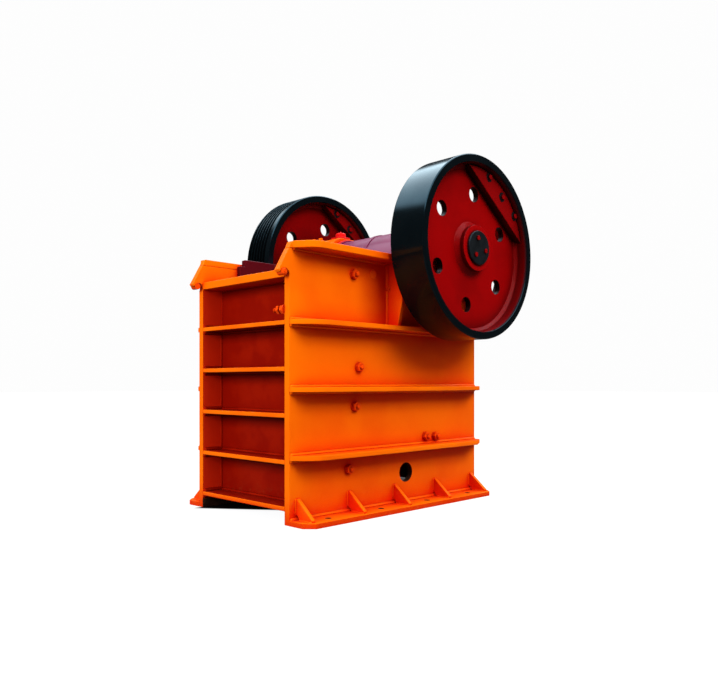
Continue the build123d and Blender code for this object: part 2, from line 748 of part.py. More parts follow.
with BuildPart() as swing_jaw:
    with BuildSketch(Plane.YZ.offset(-jaw_half_width)):
        with BuildLine():
            Polyline(
                on_jaw(0, jaw_back),
                on_jaw(0, jaw_back - jaw_foot_depth),
                foot_corner,
                block_bottom,
                block_top,
                barrel_point(-25),
                (barrel_y, barrel_z),
                barrel_point(150),
                head_point,
                close=True,
            )
        make_face()
        with Locations((toggle_front[0] - orbit_y, toggle_front[1] - orbit_z)):
            Circle(toggle_end_radius + orbit_clearance, mode=Mode.SUBTRACT)
        pocket_middle = (toggle_middle[0] - orbit_y, toggle_middle[1] - orbit_z)
        with Locations(Location((pocket_middle[0], pocket_middle[1], 0), (0, 0, toggle_angle))):
            Rectangle(toggle_length, toggle_thickness + 2 * orbit_clearance, mode=Mode.SUBTRACT)
    extrude(amount=2 * jaw_half_width)
    pocket_low = on_jaw(toggle_block_level + toggle_block_height, wall_back)
    pocket_high = on_jaw(jaw_slope_length + 2 * wedge_height, wall_back)
    pocket_ranges = (
        (-jaw_half_width, -jaw_outer_web - jaw_web_thickness / 2),
        (-jaw_outer_web + jaw_web_thickness / 2, -jaw_inner_web - jaw_web_thickness / 2),
        (-jaw_inner_web + jaw_web_thickness / 2, jaw_inner_web - jaw_web_thickness / 2),
        (jaw_inner_web + jaw_web_thickness / 2, jaw_outer_web - jaw_web_thickness / 2),
        (jaw_outer_web + jaw_web_thickness / 2, jaw_half_width),
    )
    for x_a, x_b in pocket_ranges:
        with BuildSketch(Plane.YZ.offset(x_a)):
            with BuildLine():
                Polyline(
                    pocket_low,
                    pocket_high,
                    (barrel_y + 2 * barrel_radius, pocket_high[1]),
                    (barrel_y + 2 * barrel_radius, pocket_low[1]),
                    close=True,
                )
            make_face()
        extrude(amount=x_b - x_a, mode=Mode.SUBTRACT)
    barrel_plane = Plane(origin=(0, barrel_y, barrel_z), x_dir=(1, 0, 0), z_dir=(0, 0, 1))
    with BuildSketch(barrel_plane):
        with BuildLine():
            ring_radius = barrel_radius + barrel_ring_height
            band_radius = barrel_radius + barrel_band_height
            ring_x = barrel_half_length - barrel_ring_width
            Polyline(
                (-barrel_half_length, 0),
                (-barrel_half_length, ring_radius),
                (-ring_x, ring_radius),
                (-ring_x, barrel_radius),
                (-barrel_band_width / 2, barrel_radius),
                (-barrel_band_width / 2, band_radius),
                (barrel_band_width / 2, band_radius),
                (barrel_band_width / 2, barrel_radius),
                (ring_x, barrel_radius),
                (ring_x, ring_radius),
                (barrel_half_length, ring_radius),
                (barrel_half_length, 0),
                close=True,
            )
        make_face()
    revolve(axis=Axis((0, barrel_y, barrel_z), (1, 0, 0)))
    for x_a in (-jaw_half_width, barrel_half_length):
        with BuildSketch(Plane.YZ.offset(x_a)):
            with Locations((barrel_y, barrel_z)):
                Circle(housing_radius + housing_flange + orbit_clearance)
        extrude(amount=jaw_half_width - barrel_half_length, mode=Mode.SUBTRACT)
    with BuildSketch(Plane.YZ.offset(-barrel_half_length)):
        with Locations((barrel_y, barrel_z)):
            Circle(eccentric_radius + running_fit)
    extrude(amount=2 * barrel_half_length, mode=Mode.SUBTRACT)
    with BuildSketch(Plane.YZ.offset(-barrel_half_length + bearing_land_width)):
        with Locations((barrel_y, barrel_z)):
            Circle(barrel_cavity_radius)
    extrude(amount=2 * (barrel_half_length - bearing_land_width), mode=Mode.SUBTRACT)
    lug_top = foot_corner[1]
    lug_x = rod_eye_thickness / 2 + rod_lug_gap
    for x_a in (-lug_x - rod_lug_thickness, lug_x):
        with BuildSketch(Plane.YZ.offset(x_a)):
            with Locations((rod_front_y, rod_level)):
                Circle(rod_eye_radius)
            with BuildLine():
                Polyline(
                    (rod_front_y - rod_eye_radius, rod_level),
                    (rod_front_y + rod_eye_radius, rod_level),
                    (rod_front_y + 2 * rod_eye_radius, lug_top),
                    (rod_front_y - 2 * rod_eye_radius, lug_top),
                    close=True,
                )
            make_face()
            with Locations((rod_front_y, rod_level)):
                Circle(rod_pin_radius + running_fit, mode=Mode.SUBTRACT)
        extrude(amount=rod_lug_thickness)
save(swing_jaw, "swing_jaw")

# Swing jaw plate, whose crests face the fixed plate's valleys
jaw_section_plane = Plane(
    origin=(0, jaw_foot_point[0], jaw_foot_point[1]),
    x_dir=(1, 0, 0),
    z_dir=(0, sin(jaw_lean), cos(jaw_lean)),
)
with BuildPart() as swing_jaw_plate:
    with BuildSketch(jaw_section_plane) as swing_section:
        with BuildLine():
            teeth = tooth_line(0, tooth_height, True)
            Polyline((-jaw_half_width, jaw_back), *teeth, (jaw_half_width, jaw_back), close=True)
        make_face()
    extrude(amount=jaw_slope_length)
save(swing_jaw_plate, "swing_jaw_plate")

# Wedge bar that clamps the swing jaw plate's top edge
with BuildPart() as jaw_wedge:
    with BuildSketch(Plane.YZ.offset(-jaw_half_width)):
        with BuildLine():
            wedge_base = jaw_slope_length + wedge_clearance
            Polyline(
                on_jaw(wedge_base, jaw_back),
                on_jaw(wedge_base, jaw_back - wedge_depth),
                on_jaw(wedge_base + wedge_height / 2, jaw_back - wedge_depth),
                on_jaw(wedge_base + wedge_height - wedge_clearance, jaw_back - wedge_depth / 2),
                on_jaw(wedge_base + wedge_height - wedge_clearance, jaw_back),
                close=True,
            )
        make_face()
    extrude(amount=2 * jaw_half_width)
save(jaw_wedge, "jaw_wedge")

# Tension rod from the swing jaw's foot to the spring behind the rear wall
rod_rear_y = rear_y + rod_rear_reach
bracket_rear_y = rear_wall_rear_y + bracket_thickness
spring_front_y = bracket_rear_y + orbit_clearance - orbit_y
nut_front_y = rod_rear_y - 2 * rod_nut_height
with BuildPart() as tension_rod:
    with BuildSketch(Plane.YZ.offset(-rod_eye_thickness / 2)):
        with Locations((rod_front_y, rod_level)):
            Circle(rod_eye_radius)
    extrude(amount=rod_eye_thickness)
    with BuildSketch(Plane.YZ.offset(-rod_eye_thickness / 2 - rod_lug_gap - rod_lug_thickness)):
        with Locations((rod_front_y, rod_level)):
            Circle(rod_pin_radius)
    extrude(amount=rod_eye_thickness + 2 * (rod_lug_gap + rod_lug_thickness))
    with BuildSketch(Plane.XZ.offset(-rod_rear_y)):
        with Locations((0, rod_level)):
            Circle(rod_radius)
    extrude(amount=rod_rear_y - rod_front_y)
    with BuildSketch(Plane.XZ.offset(-(nut_front_y + rod_nut_height))):
        with Locations((0, rod_level)):
            RegularPolygon(rod_nut_flats / 2, 6, major_radius=False)
    extrude(amount=rod_nut_height)
    for plate_rear_y in (nut_front_y, spring_front_y + spring_plate_thickness):
        with BuildSketch(Plane.XZ.offset(-plate_rear_y)):
            with Locations((0, rod_level)):
                Circle(spring_plate_radius)
        extrude(amount=spring_plate_thickness)
save(tension_rod, "tension_rod")

spring_start_y = spring_front_y + spring_plate_thickness + spring_wire_radius + seat_fit
spring_end_y = nut_front_y - spring_plate_thickness - spring_wire_radius - seat_fit
coil_steps = spring_turns * spring_turn_steps
coil_points = []
for i in range(coil_steps + 1):
    turn = radians(360.0 * i / spring_turn_steps)
    along = spring_start_y + (spring_end_y - spring_start_y) * i / coil_steps
    coil_points.append((spring_radius * cos(turn), along, rod_level + spring_radius * sin(turn)))
with BuildPart() as tension_spring:
    with BuildLine() as coil:
        Polyline(*coil_points)
    with BuildSketch(Plane(origin=coil.line @ 0, z_dir=coil.line % 0)):
        RegularPolygon(spring_wire_radius, 8)
    sweep(transition=Transition.RIGHT)
save(tension_spring, "tension_spring")

# Bracket on the rear wall, with the cup around the spring's front end
with BuildPart() as spring_bracket:
    with BuildSketch(Plane.XZ.offset(-bracket_rear_y)) as bracket_plate:
        with Locations((0, rod_level + orbit_z)):
            RectangleRounded(bracket_width, bracket_width, bracket_corner)
            Circle(rod_radius + orbit_clearance, mode=Mode.SUBTRACT)
    extrude(amount=bracket_thickness)
    with BuildSketch(Plane.XZ.offset(-(bracket_rear_y + spring_cup_depth))):
        with Locations((0, rod_level + orbit_z)):
            Circle(spring_plate_radius + orbit_clearance + spring_cup_wall)
            Circle(spring_plate_radius + orbit_clearance, mode=Mode.SUBTRACT)
    extrude(amount=spring_cup_depth)
save(spring_bracket, "spring_bracket")

# Eccentric shaft: crank in the middle, journals in the housings, seats for the wheels
with BuildPart() as eccentric_shaft:
    with BuildSketch(Plane(origin=(0, shaft_y, shaft_height), x_dir=(1, 0, 0), z_dir=(0, 0, 1))):
        with BuildLine():
            Polyline(
                (-hub_outer_x, 0),
                (-hub_outer_x, wheel_seat_radius),
                (-hub_inner_x, wheel_seat_radius),
                (-hub_inner_x, journal_radius),
                (hub_inner_x, journal_radius),
                (hub_inner_x, wheel_seat_radius),
                (hub_outer_x, wheel_seat_radius),
                (hub_outer_x, 0),
                close=True,
            )
        make_face()
    revolve(axis=Axis((0, shaft_y, shaft_height), (1, 0, 0)))
    with BuildSketch(Plane.YZ.offset(-barrel_half_length)):
        with Locations((barrel_y, barrel_z)):
            Circle(eccentric_radius)
    extrude(amount=2 * barrel_half_length)
save(eccentric_shaft, "eccentric_shaft")

with BuildPart() as shaft_end_plates:
    for x in (-hub_outer_x - end_plate_thickness, hub_outer_x):
        with BuildSketch(Plane.YZ.offset(x)):
            with Locations((shaft_y, shaft_height)):
                Circle(end_plate_radius)
        extrude(amount=end_plate_thickness)
save(shaft_end_plates, "shaft_end_plates")


def hub_points(s, x_web_a, x_web_b):
    """Hub outline on the two sides of the web, from the inner end to the outer end."""
    inner = [
        (s * hub_inner_x, 0),
        (s * hub_inner_x, hub_radius),
        (s * (x_web_a - hub_neck_length), hub_radius),
        (s * x_web_a, hub_root_radius),
    ]
    outer = [
        (s * x_web_b, hub_root_radius),
        (s * (x_web_b + hub_neck_length), hub_radius),
        (s * hub_outer_x, hub_radius),
        (s * hub_outer_x, 0),
    ]
    return inner, outer


rim_inner_radius = wheel_radius - rim_thickness
web_root_radius = rim_inner_radius - rim_draft


def web_roots(profile):
    """The two corners of a wheel's section where its web meets its rim."""
    return [v for v in profile.vertices() if abs(v.Y - web_root_radius) < rim_draft / 2]


# Flywheel: a plain rim, a web set in from its outer face and a stepped hub
flywheel_outer_x = wheel_inner_x + flywheel_width
web_outer_x = flywheel_outer_x - flywheel_web_recess
web_inner_x = web_outer_x - web_thickness
with BuildPart() as flywheel:
    with BuildSketch() as flywheel_profile:
        with BuildLine():
            hub_inner, hub_outer = hub_points(1, web_inner_x, web_outer_x)
            Polyline(
                *hub_inner,
                (web_inner_x, web_root_radius),
                (wheel_inner_x, rim_inner_radius),
                (wheel_inner_x, wheel_radius - rim_edge),
                (wheel_inner_x + rim_edge, wheel_radius),
                (flywheel_outer_x - rim_edge, wheel_radius),
                (flywheel_outer_x, wheel_radius - rim_edge),
                (flywheel_outer_x, rim_inner_radius),
                (web_outer_x, web_root_radius),
                *hub_outer,
                close=True,
            )
        make_face()
        chamfer(web_roots(flywheel_profile), rim_cove)
    revolve(axis=Axis.X)
    flywheel.part.position = (0, shaft_y, shaft_height)
    with BuildSketch(Plane.YZ.offset(hub_inner_x)):
        with Locations((shaft_y, shaft_height)):
            Circle(wheel_seat_radius + running_fit)
    extrude(amount=hub_length, mode=Mode.SUBTRACT)
    with BuildSketch(Plane.YZ.offset(web_inner_x)):
        with Locations((shaft_y, shaft_height)):
            with PolarLocations(web_hole_pitch_radius, web_hole_count, start_angle=flywheel_hole_phase):
                Circle(web_hole_diameter / 2)
    extrude(amount=web_thickness, mode=Mode.SUBTRACT)
save(flywheel, "flywheel")


def counterweight(name, x_face, thickness, depth):
    """A segment plate bolted to a web inside the rim, with its back edge cut clear of the cove."""
    outer_radius = web_root_radius - counterweight_gap
    chord = outer_radius - depth
    with BuildPart() as weight:
        with BuildSketch(Plane.YZ.offset(x_face)):
            with Locations(Location((shaft_y, shaft_height, 0), (0, 0, counterweight_angle))):
                Circle(outer_radius)
                with Locations((chord - 2 * outer_radius, 0)):
                    Rectangle(4 * outer_radius, 4 * outer_radius, mode=Mode.SUBTRACT)
        extrude(amount=thickness)
        rim_edges = weight.edges().filter_by(GeomType.CIRCLE).sort_by(Axis.X)
        chamfer(rim_edges[0], rim_cove)
    save(weight, name)


counterweight("flywheel_counterweight", web_outer_x, flywheel_weight_thickness, flywheel_weight_depth)

# Grooved pulley: belt grooves on the outer side of the rim and a plain band on the inner side
pulley_outer_x = wheel_inner_x + pulley_width
pulley_web_inner_x = wheel_inner_x + pulley_web_recess
pulley_web_outer_x = pulley_web_inner_x + web_thickness
groove_start_x = pulley_outer_x - groove_edge_margin - groove_count * groove_pitch
with BuildPart() as grooved_pulley:
    with BuildSketch() as pulley_profile:
        with BuildLine():
            rim_line = [(-wheel_inner_x, wheel_radius - rim_edge), (-wheel_inner_x - rim_edge, wheel_radius)]
            for i in range(groove_count):
                centre = groove_start_x + (i + 0.5) * groove_pitch
                rim_line += [
                    (-(centre - groove_top_width / 2), wheel_radius),
                    (-(centre - groove_bottom_width / 2), wheel_radius - groove_depth),
                    (-(centre + groove_bottom_width / 2), wheel_radius - groove_depth),
                    (-(centre + groove_top_width / 2), wheel_radius),
                ]
            hub_inner, hub_outer = hub_points(-1, pulley_web_inner_x, pulley_web_outer_x)
            Polyline(
                *hub_inner,
                (-pulley_web_inner_x, web_root_radius),
                (-wheel_inner_x, rim_inner_radius),
                *rim_line,
                (-pulley_outer_x, wheel_radius),
                (-pulley_outer_x, rim_inner_radius),
                (-pulley_web_outer_x, web_root_radius),
                *hub_outer,
                close=True,
            )
        make_face()
        chamfer(web_roots(pulley_profile), rim_cove)
    revolve(axis=Axis.X)
    grooved_pulley.part.position = (0, shaft_y, shaft_height)
    with BuildSketch(Plane.YZ.offset(-hub_outer_x)):
        with Locations((shaft_y, shaft_height)):
            Circle(wheel_seat_radius + running_fit)
    extrude(amount=hub_length, mode=Mode.SUBTRACT)
    with BuildSketch(Plane.YZ.offset(-pulley_web_outer_x)):
        with Locations((shaft_y, shaft_height)):
            with PolarLocations(web_hole_pitch_radius, web_hole_count, start_angle=pulley_hole_phase):
                Circle(web_hole_diameter / 2)
    extrude(amount=web_thickness, mode=Mode.SUBTRACT)
save(grooved_pulley, "grooved_pulley")

counterweight(
    "pulley_counterweight",
    -pulley_web_inner_x,
    pulley_weight_thickness,
    pulley_weight_depth,
)
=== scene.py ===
# %% [markdown]
# # A jaw crusher
# The packed model gives every plate, wheel and shaft in its true place. This first cell loads it.

# %% Load the packed model
import json
from math import ceil, cos, pi, radians, sin

import bmesh
import bpy
from mathutils import Matrix, Vector

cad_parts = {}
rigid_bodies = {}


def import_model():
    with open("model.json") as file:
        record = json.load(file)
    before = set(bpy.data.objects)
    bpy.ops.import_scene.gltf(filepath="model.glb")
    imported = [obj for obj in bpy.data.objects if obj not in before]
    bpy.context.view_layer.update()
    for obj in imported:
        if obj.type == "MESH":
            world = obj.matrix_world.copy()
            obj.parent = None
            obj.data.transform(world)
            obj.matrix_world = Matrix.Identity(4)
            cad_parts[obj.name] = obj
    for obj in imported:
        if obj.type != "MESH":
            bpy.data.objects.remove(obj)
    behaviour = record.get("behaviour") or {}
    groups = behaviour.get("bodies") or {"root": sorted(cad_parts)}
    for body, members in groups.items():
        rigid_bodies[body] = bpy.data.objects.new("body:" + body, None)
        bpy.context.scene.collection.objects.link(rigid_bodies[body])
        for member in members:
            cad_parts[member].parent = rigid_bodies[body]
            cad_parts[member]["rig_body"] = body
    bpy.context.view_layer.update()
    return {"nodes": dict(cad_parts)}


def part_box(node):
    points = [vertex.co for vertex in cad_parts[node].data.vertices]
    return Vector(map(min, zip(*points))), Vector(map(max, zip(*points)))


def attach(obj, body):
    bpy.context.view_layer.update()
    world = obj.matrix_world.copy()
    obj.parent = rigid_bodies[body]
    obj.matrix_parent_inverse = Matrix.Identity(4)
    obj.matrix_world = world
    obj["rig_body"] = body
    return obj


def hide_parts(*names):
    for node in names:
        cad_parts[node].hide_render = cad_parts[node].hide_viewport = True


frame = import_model()

# %% [markdown]
# ## The camera
# A photograph's camera can be found from lines whose real length is known: the ribs, the plate edges and
# the two wheels. The fit gave a level camera a little below the middle of the machine, so the verticals
# stay upright, and a small lens shift takes the place of a tilt.

# %% Camera
photo_width = 718
focal_pixels = 715.9
camera_place = Vector((3.866, -3.746, 0.876))
heading = radians(44.8)
horizon_above_middle = 40.4

camera_data = bpy.data.cameras.new("camera")
camera_data.sensor_width = 36.0
camera_data.lens = focal_pixels * camera_data.sensor_width / photo_width
camera_data.shift_y = horizon_above_middle / photo_width
camera_data.clip_end = 100.0
camera = bpy.data.objects.new("camera", camera_data)
camera.location = camera_place
camera.rotation_euler = (radians(90), 0, heading)
bpy.context.scene.collection.objects.link(camera)
bpy.context.scene.camera = camera
print("lens, mm:", round(camera_data.lens, 2))

# %% [markdown]
# ## Sizes of the real machine
# Details such as welds and bolts sit on the plates. The plates' own sizes are read from the packed
# nodes' boxes where a box says them, and the rest are written here once, in metres. The side plates
# reach as far in front of the middle as behind it, and the shaft's axis is the centre of both wheels.

# %% Sizes
SIDES = (("right", 1), ("left", -1))
X, Y, Z = 0, 1, 2
UP = Vector((0, 0, 1))
DOWN = Vector((0, 0, -1))

plate_low, plate_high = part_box("side_plate_right")
plate_inner, plate_outer = plate_low[X], plate_high[X]
plate_rear = plate_high[Y]
plate_front = -plate_rear
rib_thickness = 0.032
rib_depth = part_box("side_ribs_right")[1][X] - plate_outer
rib_levels = (0.396, 0.815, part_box("side_ribs_right")[1][Z] - rib_thickness)
flange_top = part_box("top_flange_right")[1][Z]
flange_thickness = 0.044
plate_top = flange_top - flange_thickness
foot_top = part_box("base_flange_right")[1][Z]
shaft_y, shaft_z = 0.425, 1.823
seat_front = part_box("bearing_seat_right")[0][Y]
wall_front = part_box("front_wall")[0][Y]
wall_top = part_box("front_wall")[1][Z]
rear_wall_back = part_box("rear_wall")[1][Y]
rear_wall_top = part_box("rear_wall")[1][Z]
print("side plate from x", round(plate_inner, 3), "to", round(plate_outer, 3))
print("side plate top at z", round(plate_top, 3))

# %% [markdown]
# ## Shader maths as expressions
# A paint is mostly arithmetic: noise times a strength, one minus a mask. Wiring Math nodes by hand hides
# that, so a small class wraps a socket and lets Python's own operators add the nodes. What a paint wants
# besides sums is a soft threshold, called span here, and a mix of two colours, called blend.


# %% The expression class
class Signal:
    """A socket in a material's node tree that can stand in an expression."""

    def __init__(self, tree, socket=None):
        self.tree = tree
        self.socket = socket

    def node(self, kind, settings=None, sockets=None, out=0):
        """Adds a node: its settings first, then its sockets' values or links."""
        made = self.tree.nodes.new(kind)
        for name, value in (settings or {}).items():
            setattr(made, name, value)
        for key, value in (sockets or {}).items():
            if isinstance(value, Signal):
                self.tree.links.new(value.socket, made.inputs[key])
            else:
                made.inputs[key].default_value = value
        return Signal(self.tree, made.outputs[out])

    def math(self, operation, first, second=0.0):
        return self.node("ShaderNodeMath", {"operation": operation}, {0: first, 1: second})

    def __add__(self, other):
        return self.math("ADD", self, other)

    __radd__ = __add__

    def __mul__(self, other):
        return self.math("MULTIPLY", self, other)

    __rmul__ = __mul__

    def __sub__(self, other):
        return self.math("SUBTRACT", self, other)

    def __rsub__(self, other):
        return self.math("SUBTRACT", other, self)

    def __pow__(self, other):
        return self.math("POWER", self, other)

    def __abs__(self):
        return self.math("ABSOLUTE", self)

    def smaller(self, other):
        return self.math("MINIMUM", self, other)

    def larger(self, other):
        return self.math("MAXIMUM", self, other)

    def span(self, low, high):
        """0 below low, 1 above high, smooth between."""
        settings = {"interpolation_type": "SMOOTHSTEP"}
        return self.node("ShaderNodeMapRange", settings, {0: self, 1: low, 2: high, 3: 0.0, 4: 1.0})

    def blend(self, first, second):
        """first where self is 0, second where self is 1; both are colours."""
        first, second = [c if isinstance(c, Signal) else (*c, 1) for c in (first, second)]
        return self.node("ShaderNodeMix", {"data_type": "RGBA"}, {0: self, 6: first, 7: second}, out=2)


print("steps that a Signal can add:", [name for name in vars(Signal) if not name.startswith("_")])

# %% [markdown]
# ## The floor
# The machine stands on a plain pale floor. A floor that is really white throws too much light up at the
# machine, so this one is dark to the light that bounces and glows white to the camera only, by way of the
# light path node. Two masks keep it dark where daylight doesn't reach: under the machine, as far as a
# slanting edge near its front, and softly on the ground behind it.


# %% Floor
def apply_finish(material, **sockets):
    shader = material.node_tree.nodes["Principled BSDF"]
    for name, value in sockets.items():
        target = shader.inputs[name.replace("_", " ")]
        if isinstance(value, Signal):
            material.node_tree.links.new(value.socket, target)
        elif isinstance(value, tuple):
            target.default_value = (*value, 1)
        else:
            target.default_value = value
    return material


floor_half_size = 60.0
floor_mesh = bpy.data.meshes.new("floor")
sheet = bmesh.new()
bmesh.ops.create_grid(sheet, x_segments=1, y_segments=1, size=floor_half_size)
sheet.to_mesh(floor_mesh)
sheet.free()
floor = bpy.data.objects.new("floor", floor_mesh)
bpy.context.scene.collection.objects.link(floor)
print("floor, metres across:", 2 * floor_half_size)

# %% Floor finish
under_front, under_slant, under_rear = (-0.69, -0.64), 0.757, (0.76, 0.84)
behind_left, behind_right = (-1.0, -0.5), (-0.15, 0.28)
behind_near, behind_far = (0.74, 0.80), (1.15, 1.60)
behind_darkness = 0.94
floor_finish = bpy.data.materials.new("floor")
floor_finish.use_nodes = True
floor_place = Signal(floor_finish.node_tree).node("ShaderNodeTexCoord", out=3)
floor_x = floor_place.node("ShaderNodeSeparateXYZ", sockets={0: floor_place}, out=X)
floor_y = floor_place.node("ShaderNodeSeparateXYZ", sockets={0: floor_place}, out=Y)
# Painted shadow: the floor is dark under the machine and softly on the ground behind it.
under = 1 - abs(floor_x).span(plate_inner + 0.005, plate_inner + 0.030)
under = under * (floor_y - under_slant * floor_x).span(*under_front) * (1 - floor_y.span(*under_rear))
behind = floor_x.span(*behind_left) * (1 - floor_x.span(*behind_right))
behind = behind * floor_y.span(*behind_near) * (1 - floor_y.span(*behind_far))
open_floor = (1 - under) * (1 - behind_darkness * behind)
seen_directly = floor_place.node("ShaderNodeLightPath")
apply_finish(
    floor_finish,
    Base_Color=open_floor.blend((0.004, 0.003, 0.003), (0.09, 0.09, 0.09)),
    Roughness=0.9,
    Specular_IOR_Level=0.0,
    Emission_Color=(seen_directly * open_floor).blend((0.0, 0.0, 0.0), (0.955, 0.96, 0.965)),
    Emission_Strength=1.0,
)
floor_mesh.materials.append(floor_finish)
print("floor nodes:", len(floor_finish.node_tree.nodes))

# %% [markdown]
# ## Light panels
# Studio light is large and soft. The key panel stands high on the flywheel's side, because the
# photograph's brightest faces look up and to that side, and the front pockets stay in shade. A panel in
# front, one on the pulley's side and one behind keep the other sides readable. Gloss would mirror the
# panels as hard white patches, which the photograph doesn't show, so they are hidden from glossy rays.


# %% Panels
def light_panel(name, place, target, size, power, colour):
    data = bpy.data.lights.new(name, "AREA")
    data.shape = "RECTANGLE"
    data.size, data.size_y = size
    data.energy = power
    data.color = colour
    panel = bpy.data.objects.new(name, data)
    panel.location = place
    panel.visible_glossy = False
    panel.rotation_euler = (Vector(target) - Vector(place)).to_track_quat("-Z", "Y").to_euler()
    bpy.context.scene.collection.objects.link(panel)
    print(name, "watts:", power)


light_panel("key_panel", (6.2, 0.2, 5.2), (0.4, 0.1, 1.0), (3.2, 3.2), 470, (1.0, 0.97, 0.92))
light_panel("front_panel", (0.8, -7.5, 3.2), (0.0, 0.0, 1.2), (4.0, 3.0), 520, (1.0, 0.95, 0.88))
light_panel("far_panel", (-6.5, 2.0, 5.5), (0.0, 0.0, 1.0), (4.0, 4.0), 600, (1.0, 0.98, 0.95))
light_panel("rear_panel", (1.0, 8.0, 4.5), (0.0, 0.0, 1.0), (4.0, 3.0), 420, (1.0, 0.98, 0.95))

# %% [markdown]
# ## Three skies in one
# The sky answers each kind of ray with its own colour. The camera sees plain white. Gloss mirrors a
# bright sky high up and a dark one near the horizon, which gives the black rims a pale and a dark part.
# Paint in shade is lit by what bounces off the paint around it, which is why its shadows are a deep red
# and not a dull brown, so the light that the sky gives to matt colour is a warm red.

# %% Sky
low_sky, high_sky = (0.05, 0.055, 0.06), (3.5, 4.4, 4.9)
bounced_sky = (0.42, 0.13, 0.11)
seen_sky = (0.985, 0.985, 0.985)
world = bpy.context.scene.world or bpy.data.worlds.new("studio")
bpy.context.scene.world = world
world.use_nodes = True
sky = Signal(world.node_tree)
upward = sky.node("ShaderNodeSeparateXYZ", sockets={0: sky.node("ShaderNodeTexCoord", out=0)}, out=2)
mirrored_sky = upward.span(0.60, 0.68).blend(low_sky, high_sky)
camera_ray = sky.node("ShaderNodeLightPath")
diffuse_ray = sky.node("ShaderNodeLightPath", out=2)
sky_colour = camera_ray.blend(diffuse_ray.blend(mirrored_sky, bounced_sky), seen_sky)
world.node_tree.links.new(sky_colour.socket, world.node_tree.nodes["Background"].inputs["Color"])
bpy.context.scene.view_settings.view_transform = "Standard"
print("sky nodes:", len(world.node_tree.nodes))

# %% [markdown]
# ## Where shade is painted on the frame
# The frame's orange doesn't look like one colour. The pockets between the cross ribs see nothing but red-lit
# paint and look brick red, and the crushing chamber, the underside and the walls of the holes lie in deep
# shade, so they get painted shade: brick red in the pockets and near black in the rest. Both could be
# painted by hand on an unwrapped mesh. Here each place is a box or a circle in the object's own
# coordinates, which needs no unwrapping and stays in place from every side.


# %% Masks for the pockets and the dark places
def inside_of(value, low, high, soft=0.002):
    """1 between low and high, falling to 0 over soft on both sides."""
    return value.span(low - soft, low) * (1 - value.span(high, high + soft))


def under_edge(z, top):
    """1 up to just below a wall's top edge, 0 above."""
    return 1 - z.span(top - 0.006, top - 0.002)


pocket_from, pocket_to, pocket_floor = 0.744, 0.947, 0.060
chamber_dark_to, chamber_light_from = 1.40, 1.85
access_hole_y, access_hole_z, access_hole_radius = 0.124, 0.235, 0.0675
bolt_hole_x, bolt_hole_middle, bolt_hole_apart, bolt_hole_radius = 0.595, 0.482, 0.241, 0.019


def pocket_mask(y, z, between_sides):
    """1 in the pockets between the cross ribs, in front and at the rear, where brick-red shade is painted."""
    in_front = inside_of(y, -pocket_to, -pocket_from, 0.004) * under_edge(z, wall_top)
    in_rear = inside_of(y, pocket_from, pocket_to, 0.004) * under_edge(z, rear_wall_top)
    return between_sides * (in_front + in_rear) * z.span(pocket_floor - 0.002, pocket_floor)


def painted_dark_shade_mask(from_middle, y, z, between_sides, cloud):
    """1 where near-black shade is painted: in the chamber, under the machine, and in the walls of the access
    and bolt holes.
    """
    from_centre = abs(y)
    ragged_height = z + 0.3 * cloud
    chamber = between_sides * (1 - from_centre.span(pocket_from - 0.009, pocket_from))
    chamber = chamber * (1 - ragged_height.span(chamber_dark_to, chamber_light_from))
    below = between_sides * (1 - z.span(0.055, 0.075))
    from_hole = ((y - access_hole_y) ** 2 + (z - access_hole_z) ** 2) ** 0.5
    hole_wall = 1 - from_hole.span(access_hole_radius + 0.001, access_hole_radius + 0.002)
    along = abs(from_centre - bolt_hole_middle) - bolt_hole_apart
    from_bolt = ((from_middle - bolt_hole_x) ** 2 + along * along) ** 0.5
    bolt_hole = 1 - from_bolt.span(bolt_hole_radius + 0.002, bolt_hole_radius + 0.004)
    bolt_hole = bolt_hole * (1 - z.span(0.04, 0.05))
    return chamber.larger(below).larger(hole_wall).larger(bolt_hole)


print("pockets, metres deep:", round(pocket_to - pocket_from, 3))

# %% [markdown]
# ## Orange machine enamel
# The frame is sprayed with thick orange enamel. Close up it has orange peel, runs of slightly deeper
# colour and a little dust along the bottom. In corners the paint mirrors more paint, so an occlusion mask
# paints shade there, leading the colour from orange to red. One function makes every enamel on the
# machine, because they differ only in colour, in how far the painted corner shade reaches, and in the masks
# of painted shade, which only the frame and its beads have. The gloss takes a tint of the paint, so that
# reflections stay warm.


# %% Enamel
def new_finish(name):
    """A material, the object coordinates as a vector, and its three parts."""
    material = bpy.data.materials.new(name)
    material.use_nodes = True
    start = Signal(material.node_tree)
    place = start.node("ShaderNodeTexCoord", out=3)
    parts = [start.node("ShaderNodeSeparateXYZ", sockets={0: place}, out=i) for i in range(3)]
    return material, place, parts


def noise(place, scale, detail, roughness=0.5):
    sockets = {"Vector": place, "Scale": scale, "Detail": detail, "Roughness": roughness}
    return place.node("ShaderNodeTexNoise", sockets=sockets)


def crevice(place, reach):
    """1 in corners and joints, 0 on open faces."""
    return 1 - place.node("ShaderNodeAmbientOcclusion", {"samples": 8}, {"Distance": reach}, out=1)


def relief(height, strength, distance):
    sockets = {"Strength": strength, "Distance": distance, "Height": height}
    return height.node("ShaderNodeBump", sockets=sockets)


def pocket_painted_shade(from_middle, cloud, painted_corner_shade):
    """The painted shade of the pockets, which is deeper on the wall than on the side plates' inner faces."""
    on_side = from_middle.span(plate_inner - 0.0020, plate_inner - 0.0005)
    wall_brick = cloud.span(0.38, 0.62).blend((0.36, 0.0115, 0.0009), (0.26, 0.0050, 0.0005))
    brick = on_side.blend(wall_brick, (0.90, 0.040, 0.006))
    deep_brick = on_side.blend((0.19, 0.0030, 0.0004), (0.70, 0.026, 0.004))
    return painted_corner_shade.blend(brick, deep_brick)


